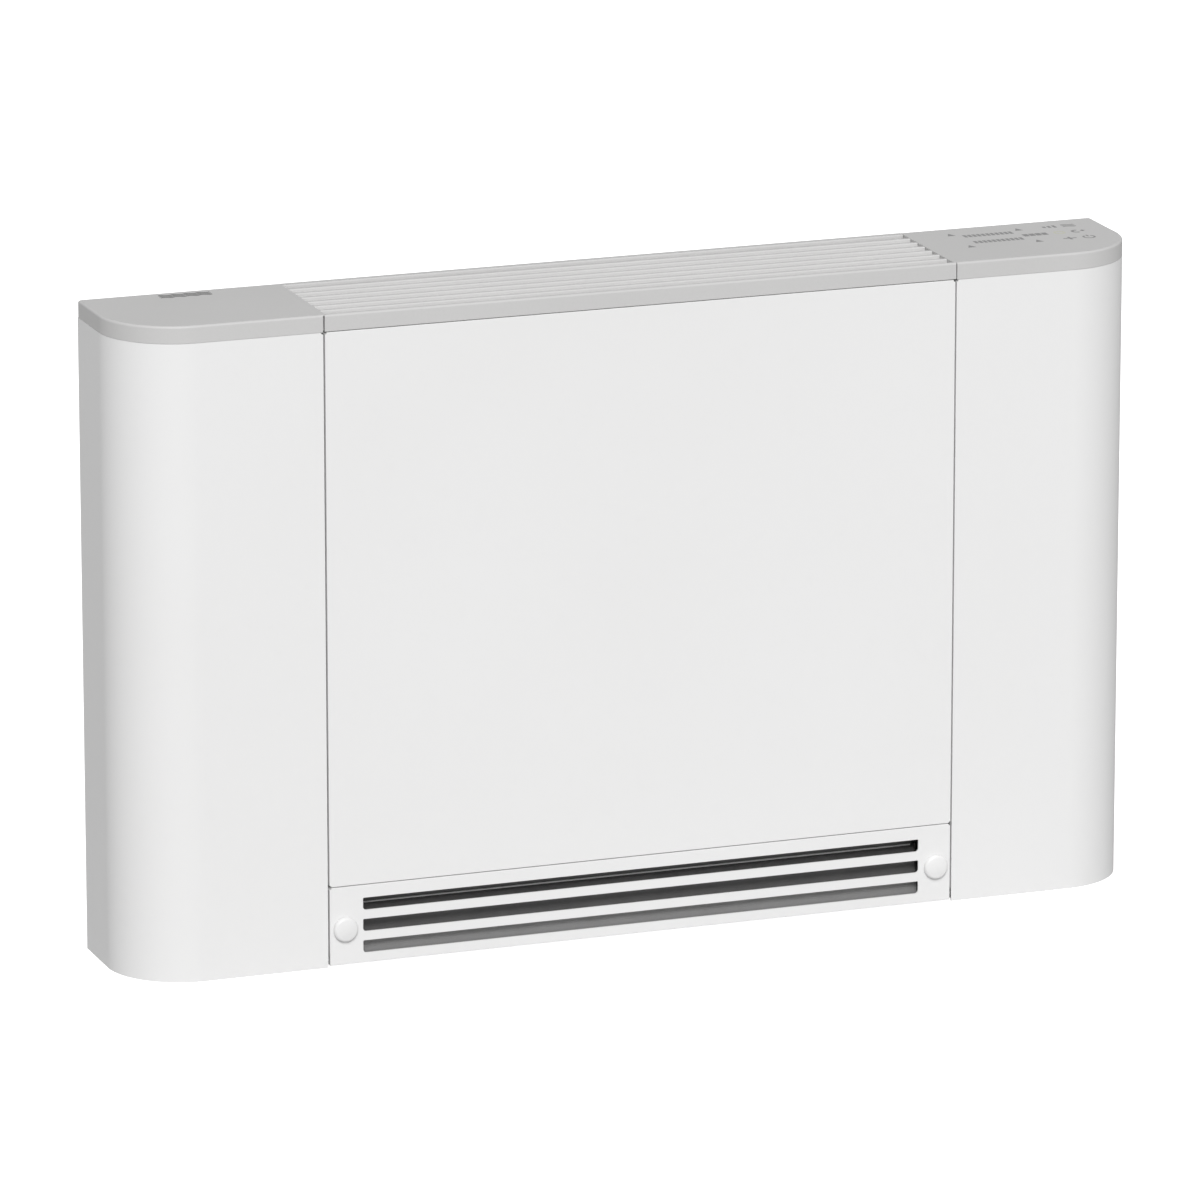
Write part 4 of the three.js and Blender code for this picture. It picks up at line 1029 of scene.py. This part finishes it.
def bulkhead(side):
    """Folded end plate of the chassis with screws along its foot."""
    finished(f"{side}_bulkhead", 0.35 * MM)
    sign = SIGN[side]
    _, high = span("right_bulkhead")
    screws = [screw_head("z", (sign * BULKHEAD, y, 1.5 * MM), 1, 2.6 * MM) for y in (-20 * MM, 30 * MM)]
    face = sign * (high.x - 12.5 * MM)
    for y, z in ((55, 12), (55, 26), (-45, 560), (-45, 540), (20, 575), (30, 500), (30, 260)):
        screws.append(screw_head("x", (face, y * MM, z * MM), sign, 2.6 * MM))
    screw_set(f"{side}_bulkhead_screws", screws)


# ---------- fan ----------
FAN_AXIS = joint_place("fan_spin")
ROTOR_BLADES = 34


def rotor_blade(angle, start, end):
    """One thin forward-curved blade of the cross-flow wheel."""
    inner, reach, thick = 25 * MM, 12.4 * MM, 0.9 * MM
    outside, inside = [], []
    for i in range(9):
        t = i / 8
        radius = inner + reach * t
        turn = angle + math.radians(-7 + 11 * t ** 1.7)
        half = thick * (0.35 + 0.3 * math.sin(math.pi * min(1.0, t + 0.1))) / radius
        outside.append((radius * math.cos(turn - half), radius * math.sin(turn - half)))
        inside.append((radius * math.cos(turn + half), radius * math.sin(turn + half)))
    outline = [(FAN_AXIS.y + u, FAN_AXIS.z + v) for u, v in outside + inside[::-1]]
    return prism(outline, "x", start, end)


def fan_rotor():
    """Cross-flow wheel: two end discs with raised hubs, stiffening rings and curved blades."""
    low, high = span("fan_rotor")
    radius = (high.z - low.z) / 2
    parts = []
    for sign in (-1, 1):
        disc = [(4.3, 286), (12, 286), (14, 284.6), (34, 284.6), (36, 286), (38, 285.6), (38, 283), (4.3, 283)]
        parts.append(turned([(r * MM, sign * x * MM) for r, x in disc], "x", FAN_AXIS, 96))
    bore = radius - 14 * MM
    for x in (-96.5, 93.5):
        start, end = x * MM, (x + 3) * MM
        parts.append(turned([(bore, start), (radius, start), (radius, end), (bore, end)], "x", FAN_AXIS, 96))
    for i in range(ROTOR_BLADES):
        parts.append(rotor_blade(2 * math.pi * i / ROTOR_BLADES, low.x + 2 * MM, high.x - 2 * MM))
    round_part("fan_rotor", *parts, name="wheel")


def shafts():
    """The wheel's two end shafts, each with a collar and its grub screw."""
    for node, start, end in (("fan_drive_shaft", 286.4, 292.4), ("fan_stub_shaft", -291.4, -286.4)):
        low, high = span(node)
        bar = rod(4 * MM, low.x, high.x, "x", FAN_AXIS, 0.6 * MM)
        ring = sleeve(9 * MM, 4.2 * MM, start * MM, end * MM, "x", FAN_AXIS, 0.8 * MM, 48)
        place = ((start + end) / 2 * MM, FAN_AXIS.y, FAN_AXIS.z)
        screw = rod(1.8 * MM, 8.4 * MM, 8.95 * MM, "z", place, 0.2 * MM, 16)
        round_part(node, bar, ring, screw)


def fan_bearing():
    """Rubber mount with a lip on each side of the bulkhead."""
    profile = [(4.3, -311), (15, -311), (17.6, -310.2), (18, -309.4), (18, -308), (12, -307.8)]
    profile += [(12, -303), (11.4, -302.2), (4.3, -302)]
    round_part("fan_bearing", turned(in_mm(profile), "x", FAN_AXIS, 64))


def motor_fixings():
    """The three places, as y and z, where the motor is screwed to its bracket."""
    radius = 26 * MM
    for degrees in (30, 150, 270):
        angle = math.radians(degrees)
        yield FAN_AXIS.y + radius * math.cos(angle), FAN_AXIS.z + radius * math.sin(angle)


def fan_motor():
    """Motor with a ribbed can, drawn end bells, fixing bosses and a lead bush."""
    low, high = span("fan_motor")
    profile = [(4.5, 318), (12, 318), (13, 319), (26, 319.4), (29, 320.5), (30, 322), (30, 323.6), (34.6, 324)]
    for rib in range(9):
        x = 325 + 3.5 * rib
        profile += [(34.6, x), (36, x + 0.5), (36, x + 1.5), (34.6, x + 2)]
    profile += [(34.6, 358), (30, 358.4), (30, 363), (28.5, 365), (14, 366), (12.5, 364.8), (4.5, 364.8)]
    parts = [turned(in_mm(profile), "x", FAN_AXIS, 96)]
    for y, z in motor_fixings():
        parts.append(rod(4 * MM, low.x, 321 * MM, "x", (0, y, z), 0.4 * MM, 24))
    round_part("fan_motor", *parts)
    bush = rod(5 * MM, high.z - 3 * MM, high.z + 1.5 * MM, "z", (348 * MM, FAN_AXIS.y, 0), 0.8 * MM, 28)
    detail("fan_motor_bush", bush, BLACK, "dark_plastic")


def motor_bracket():
    """Round plate with a raised rim, three spacers and their screws."""
    profile = [(14, 307.8), (44, 307.8), (44, 309.6), (43, 309.8), (30, 309.8)]
    profile += [(29, 309.2), (18, 309.2), (16, 309.8), (14, 309.8)]
    parts = [turned(in_mm(profile), "x", FAN_AXIS, 72)]
    screws = []
    for y, z in motor_fixings():
        parts.append(rod(5.5 * MM, 308 * MM, 315.7 * MM, "x", (0, y, z), 0.5 * MM, 32))
        outward = Vector((0, y, z)) + (Vector((0, y, z)) - FAN_AXIS) * 0.55
        screws.append(screw_head("x", (309.8 * MM, outward.y, outward.z), 1, 2.5 * MM))
    round_part("motor_bracket", *parts)
    screw_set("motor_bracket_screws", screws)


# ---------- coil and water side ----------
COIL_LEAN = math.radians(16)
COIL_ROWS = 7
COIL_PITCH = 25 * MM
FIN_PITCH = 2.2 * MM


def coil_place(bm):
    """Leans a part drawn about the coil's own centre and puts it in the casing."""
    bm.transform(Matrix.Translation(Vector(middle("coil"))) @ Matrix.Rotation(-COIL_LEAN, 4, "X"))
    return bm


def coil():
    """Aluminium fins on copper hairpin tubes between two zinc end plates."""
    half, deep, tall = 284 * MM, 15 * MM, 94 * MM
    count = int(2 * half / FIN_PITCH)
    fins = []
    for i in range(count + 1):
        x = -half + i * 2 * half / count
        crimp = [(-deep, x), (-deep / 2, x + 0.25 * MM), (0, x - 0.25 * MM), (deep / 2, x + 0.25 * MM), (deep, x)]
        back = [(y, u + 0.3 * MM) for y, u in crimp[::-1]]
        fins.append(prism([(u, y) for y, u in crimp + back], "z", -tall, tall))
    piece = mesh_object("coil_fins", coil_place(join(*fins)), FINS)
    stand_for(piece, "coil")
    plates = []
    for sign in (-1, 1):
        x0, x1 = sorted((sign * (half + 0.6 * MM), sign * (half + 1.4 * MM)))
        plates.append(block(x0, x1, -deep - 2 * MM, deep + 2 * MM, -tall - MM, tall + MM))
    detail("coil_end_plates", coil_place(join(*plates)), ZINC, "galvanised_steel")
    detail("coil_tubes", coil_place(coil_tubes(half)), COPPER, "copper")


def coil_tubes(half):
    """Straight tubes with a bend at each end; the first and the last row stay open on the left for the pipes."""
    radius, offset, reach = 4.5 * MM, 7 * MM, 4 * MM
    tubes = []
    for row in range(COIL_ROWS):
        z = (row - (COIL_ROWS - 1) / 2) * COIL_PITCH
        right = [(half + reach + u, v, z) for u, v in arc(0, 0, offset, -90, 90, 14)]
        line = [(-half, -offset, z)] + right + [(-half, offset, z)]
        tubes.append(tube(line, radius, 16))
        if 0 < row < COIL_ROWS - 1:
            left = [(-half - reach + u, v, z) for u, v in arc(0, 0, offset, 90, 270, 14)]
            line = [(-half + MM, offset, z)] + left + [(-half + MM, -offset, z)]
            tubes.append(tube(line, radius, 16))
    return join(*tubes)


def water_pipe(node):
    """Copper pipe: out of the coil, one swept bend, straight down, with a solder ring at the coil."""
    low, high = span(node)
    radius, turn = (high.y - low.y) / 2, 18 * MM
    y, z, x = (low.y + high.y) / 2, high.z - radius, low.x + radius
    line = [(high.x, y, z), (x + turn + 20 * MM, y, z)]
    enter, corner, leave = Vector((x + turn, y, z)), Vector((x, y, z)), Vector((x, y, z - turn))
    for i in range(21):
        t = i / 20
        line.append(enter * (1 - t) ** 2 + corner * 2 * t * (1 - t) + leave * t ** 2)
    line += [(x, y, (z - turn + low.z) / 2), (x, y, low.z)]
    round_part(node, tube(line, radius, 32), name="pipe")


def valve():
    """Brass valve body between two union nuts, with its stem facing forward."""
    low, high = span("valve_body")
    x, y, mid = middle("valve_body")
    nut = 14 * MM
    profile = [(0, low.z + MM), (10, low.z + nut), (11, mid - 14 * MM), (13, mid - 9 * MM), (13, mid + 9 * MM)]
    profile += [(11, mid + 14 * MM), (10, high.z - nut), (0, high.z - MM)]
    waist = turned([(r * MM, z) for r, z in profile], "z", (x, y, 0), 40)
    stem = rod(12 * MM, low.y, y, "y", (x, 0, mid), 0.8 * MM, 40)
    nuts = [hexagon(15 * MM, low.z, low.z + nut, x, y), hexagon(15 * MM, high.z - nut, high.z, x, y)]
    round_part("valve_body", waist, stem, *nuts)
    actuator(x, mid)


def actuator(x, z):
    """White valve cap: lock ring, grip with flutes, and a collet on its face."""
    low, high = span("valve_actuator")
    flutes, steps = 24, 96
    rings = []
    for radius, y in ((14, 2), (17, 3.2), (17, 14.6), (14.5, 16)):
        depth = 0.7 if radius == 17 else 0.0
        ring = []
        for i in range(steps):
            angle = 2 * math.pi * i / steps
            r = (radius - depth * (1 + math.cos(flutes * angle)) / 2) * MM
            ring.append((x + r * math.cos(angle), low.y + y * MM, z + r * math.sin(angle)))
        rings.append(ring)
    collar = rod(14.5 * MM, high.y - 5 * MM, high.y, "y", (x, 0, z), 0.6 * MM, 48)
    collet = rod(13 * MM, low.y, low.y + 3 * MM, "y", (x, 0, z), 1.2 * MM, 48)
    round_part("valve_actuator", loft(rings), collar, collet)


def coupling(node):
    """Brass tail: union nut above, threaded sleeve, smaller nut below."""
    low, high = span(node)
    x, y, _ = middle(node)
    threads, bore, root, crest = 14, 7.5 * MM, 9.7 * MM, 10.5 * MM
    pitch = (high.z - low.z - 30 * MM) / threads
    profile = [(bore, low.z + 12 * MM), (10 * MM, low.z + 12 * MM)]
    for i in range(threads):
        z = low.z + 14 * MM + i * pitch
        profile += [(root, z), (crest, z + pitch / 2)]
    profile += [(root, high.z - 15 * MM), (bore, high.z - 15 * MM)]
    upper = hexagon(15 * MM, high.z - 16 * MM, high.z, x, y)
    lower = hexagon(14 * MM, low.z, low.z + 14 * MM, x, y, bore)
    round_part(node, turned(profile, "z", (x, y, 0), 48), upper, lower)


def air_vent():
    """Brass vent: foot, hexagon and a thin stem."""
    low, high = span("air_vent")
    x, y, _ = middle("air_vent")
    base = rod(6 * MM, low.z, low.z + 6 * MM, "z", (x, y, 0), 0.5 * MM, 32)
    nut = hexagon(7.5 * MM, low.z + 5 * MM, low.z + 12 * MM, x, y)
    stem = rod(3.5 * MM, low.z + 11 * MM, high.z, "z", (x, y, 0), 0.8 * MM, 28)
    round_part("air_vent", base, nut, stem)


def drain_spout():
    """Spout with three barbs for a hose."""
    low, high = span("drain_spout")
    _, y, z = middle("drain_spout")
    bore, neck = 6 * MM, 8 * MM
    profile = [(bore, low.x), (7.6 * MM, low.x)]
    for i in range(3):
        x = low.x + 5 * i * MM
        profile += [(9 * MM, x + 4 * MM), (neck, x + 4.4 * MM)]
    profile += [(neck, high.x), (bore, high.x)]
    round_part("drain_spout", turned(profile, "x", (0, y, z), 40))


# ---------- electrics ----------
def electrical_case():
    """Plastic box and cover, with a screw in each corner of the cover."""
    finished("electrical_box", 0.8 * MM)
    finished("electrical_cover", 0.4 * MM)
    low, high = span("electrical_cover")
    inset = 8 * MM
    corners = [(x, z) for x in (low.x + inset, high.x - inset) for z in (low.z + inset, high.z - inset)]
    screw_set("electrical_cover_screws", [screw_head("y", (x, low.y, z), -1) for x, z in corners])


def terminals():
    """Eight-way terminal block with a clamp screw in each way."""
    finished("terminal_block", 0.3 * MM)
    low, _ = span("terminal_block")
    y, z = low.y + 5.5 * MM, low.z + 8 * MM
    heads = [screw_head("y", (low.x + (5 + 8 * way) * MM, y, z), -1, 2.2 * MM) for way in range(8)]
    screw_set("terminal_screws", heads)


def controller():
    """Control board with a relay, a choke pair, a smoothing capacitor, a connector and small chips."""
    low, high = span("controller_board")
    face = high.y - 1.8 * MM
    piece = mesh_object("controller_board_laminate", block(low.x, high.x, face, high.y, low.z, high.z), BOARD)
    soften(piece, 0.2 * MM, 2)
    stand_for(piece, "controller_board")

    def part(x0, x1, depth, z0, z1):
        front, back = face - depth * MM, face + 0.2 * MM
        return block(low.x + x0 * MM, low.x + x1 * MM, front, back, low.z + z0 * MM, low.z + z1 * MM)

    dark = [part(12, 40, 17, 60, 92), part(52, 72, 13, 20, 36), part(78, 98, 13, 20, 36), part(14, 26, 3, 20, 40)]
    dark += [part(88, 100, 3, 66 + 14 * i, 76 + 14 * i) for i in range(3)]
    detail("controller_parts", join(*dark), BLACK, "dark_plastic", rounding=(0.6 * MM, 3))
    can = rod(7 * MM, low.y, face, "y", (low.x + 68 * MM, 0, low.z + 80 * MM), 0.9 * MM, 40)
    detail("controller_capacitor", can, STEEL, "bright_steel")
    plug = [part(20 + 6 * i, 24 + 6 * i, 8, 4, 12) for i in range(8)]
    detail("controller_header", join(*plug), KNOB_WHITE, "white_plastic", rounding=(0.4 * MM, 2))


def cable_gland():
    """Plastic gland: neck through the box, domed nut inside, hexagon outside."""
    low, high = span("cable_gland")
    x, y, _ = middle("cable_gland")
    bore = 4.5 * MM
    neck = sleeve(8 * MM, bore, low.z + 8 * MM, high.z, "z", (x, y, 0), 0.6 * MM)
    profile = [(4.5, 0), (7.4, 0), (8.6, 1.2), (10, 4), (10, 12), (4.5, 12)]
    dome = turned([(r * MM, low.z + z * MM) for r, z in profile], "z", (x, y, 0), 40)
    nut = hexagon(12 * MM, low.z + 12 * MM, low.z + 19.7 * MM, x, y, bore)
    round_part("cable_gland", neck, dome, nut)


def motor_capacitor():
    """Capacitor can on a stud, with a crimped lid and two tabs."""
    low, high = span("motor_capacitor")
    x, y, _ = middle("motor_capacitor")
    profile = [(0, 214), (11.5, 214), (12.6, 215.2), (14, 216.5), (14, 259)]
    profile += [(13, 260.6), (11.5, 260), (10.5, 262), (0, 262)]
    can = turned(in_mm(profile), "z", (x, y, 0), 56)
    stud = rod(4 * MM, low.z, 215 * MM, "z", (x, y, 0), 0.6 * MM, 28)
    tabs = []
    for u in (-3.8, 3.8):
        centre = x + u * MM
        tabs.append(block(centre - 3 * MM, centre + 3 * MM, y - 0.5 * MM, y + 0.5 * MM, 261 * MM, high.z))
    round_part("motor_capacitor", can, stud, *tabs, name="can")


def air_sensor():
    """Sensor bulb with a round nose and a thinner neck."""
    low, high = span("air_sensor")
    radius, neck = (high.z - low.z) / 2, 3 * MM
    _, y, z = middle("air_sensor")
    profile = [(0, low.x)]
    for step in range(1, 9):
        angle = math.radians(90 * step / 8)
        profile.append((radius * math.sin(angle), low.x + radius * (1 - math.cos(angle))))
    profile += [(radius, low.x + 5 * MM), (neck, low.x + 7 * MM), (neck, high.x - 0.4 * MM)]
    profile += [(2.6 * MM, high.x), (0, high.x)]
    round_part("air_sensor", turned(profile, "x", (0, y, z), 32))


def hinge_pin(side):
    """Steel pin with a rounded head outside the bulkhead."""
    node = f"{side}_grille_hinge_pin"
    low, high = span(node)
    sign = SIGN[side]
    inner, outer = (low.x, high.x) if side == "right" else (high.x, low.x)
    _, y, z = middle(node)
    under = outer - sign * 1.8 * MM
    profile = [(0, inner), (1.2, inner), (1.6, inner + sign * 0.5 * MM), (1.6, under), (2.8, under)]
    profile += [(3, outer - sign * 1.4 * MM), (2.6, outer - sign * 0.4 * MM), (1.4, outer), (0, outer)]
    round_part(node, turned([(r * MM, x) for r, x in profile], "x", (0, y, z), 32))


# CAD nodes that are used as they are, with edges rounded by so many millimetres
PLAIN_NODES = {
    "lower_cross_rail": 0.35, "upper_cross_rail": 0.35,
    "left_louvre_pivot_plate": 0.2, "right_louvre_pivot_plate": 0.2,
    "louvre_link": 0.3, "louvre_switch": 0.5, "touch_board": 0.2, "fan_rear_guide": 0.3, "fan_front_guide": 0.3,
    "drain_pan": 0.5, "air_sensor_clip": 0.5, "left_knob_socket": 0.4, "right_knob_socket": 0.4,
}

# ---------- building ----------
for node, piece in frame["nodes"].items():
    piece.data.materials.clear()
    piece.data.materials.append(SLOT_LOOKS[SLOT_OF[node]])

for hand in ("left", "right"):
    side_panel(hand)
    cap(hand)
    knob(hand)
front_panel()
intake_grille()
filter_frame()
filter_bead()
filter_foam_lip()
filter_cloth_sheet()
front_trim()
rear_rail()
for number in range(1, 7):
    louvre_blade(number)
keypad()
air_emblem()
back_plate()
for hand in ("left", "right"):
    bulkhead(hand)
    hinge_pin(hand)
fan_rotor()
shafts()
fan_bearing()
fan_motor()
motor_bracket()
coil()
water_pipe("inlet_pipe")
water_pipe("outlet_pipe")
valve()
coupling("inlet_coupling")
coupling("outlet_coupling")
air_vent()
drain_spout()
electrical_case()
terminals()
controller()
cable_gland()
motor_capacitor()
air_sensor()
for node, width in PLAIN_NODES.items():
    finished(node, width * MM)

# ---------- stage, light and camera ----------
FLOOR_BOUNCE = 0.5
FLOOR_HALF = 40
WORLD_LIGHT = 0.47
# the photo's viewpoint: degrees as in toward(), metres from the unit's middle, and its lens
VIEW_AZIMUTH, VIEW_ELEVATION, VIEW_DISTANCE = -20.2, 14.9, 8.49
LENS_MM, SENSOR_MM = 279.4, 36
SHIFT_X, SHIFT_Y = -0.0154, -0.0029


def stage():
    """Large floor under the unit."""
    half = FLOOR_HALF
    mesh_object("floor", block(-half, half, -half, half, -0.02, 0), floor_material())


def floor_material():
    """Pale studio floor, over-exposed to plain white for the camera and milder in the light it throws back."""
    n = Nodes("pale_floor")
    cloudy = n.noise(0.8, 3.0)
    tone = n.blend(n.ramp(cloudy, 0.0, 1.0), grey(FLOOR_BOUNCE * 0.98), grey(FLOOR_BOUNCE))
    seen = n.add("ShaderNodeLightPath").outputs["Is Camera Ray"]
    return n.plug(Base_Color=tone, Roughness=0.8, Emission_Color=(1, 1, 1, 1), Emission_Strength=seen)


def world_light(strength):
    """Even dim studio surround for the light, plain white where the camera looks past the floor."""
    world = bpy.data.worlds.new("studio")
    bpy.context.scene.world = world
    world.use_nodes = True
    tree = world.node_tree
    tree.nodes.clear()
    surround, backdrop = (tree.nodes.new("ShaderNodeBackground") for _ in range(2))
    for node, power in ((surround, strength), (backdrop, 1.0)):
        node.inputs["Color"].default_value = (1, 1, 1, 1)
        node.inputs["Strength"].default_value = power
    path = tree.nodes.new("ShaderNodeLightPath")
    mix = tree.nodes.new("ShaderNodeMixShader")
    out = tree.nodes.new("ShaderNodeOutputWorld")
    tree.links.new(path.outputs["Is Camera Ray"], mix.inputs[0])
    tree.links.new(surround.outputs[0], mix.inputs[1])
    tree.links.new(backdrop.outputs[0], mix.inputs[2])
    tree.links.new(mix.outputs[0], out.inputs[0])


def toward(azimuth, elevation):
    """A direction in degrees: azimuth 0 is straight in front of the unit, positive to its right."""
    a, e = math.radians(azimuth), math.radians(elevation)
    return Vector((math.sin(a) * math.cos(e), -math.cos(a) * math.cos(e), math.sin(e)))


def sun(name, strength, azimuth, elevation, spread):
    """Light that comes from a direction; its spread is in degrees."""
    lamp = bpy.data.lights.new(name, "SUN")
    lamp.energy = strength
    lamp.angle = math.radians(spread)
    item = bpy.data.objects.new(name, lamp)
    bpy.context.scene.collection.objects.link(item)
    item.rotation_euler = toward(azimuth, elevation).to_track_quat("Z", "Y").to_euler()


def camera():
    """The photo's camera."""
    back = toward(VIEW_AZIMUTH, VIEW_ELEVATION)
    data = bpy.data.cameras.new("camera")
    data.lens = LENS_MM
    data.sensor_width = SENSOR_MM
    data.shift_x = SHIFT_X
    data.shift_y = SHIFT_Y
    item = bpy.data.objects.new("camera", data)
    item.location = Vector((0, (FRONT + BACK) / 2, TOP / 2)) + back * VIEW_DISTANCE
    item.rotation_euler = back.to_track_quat("Z", "Y").to_euler()
    bpy.context.scene.collection.objects.link(item)
    bpy.context.scene.camera = item


stage()
world_light(WORLD_LIGHT)
sun("key", 2.3, azimuth=-15, elevation=38, spread=25)
camera()
bpy.context.scene.view_settings.view_transform = "Standard"
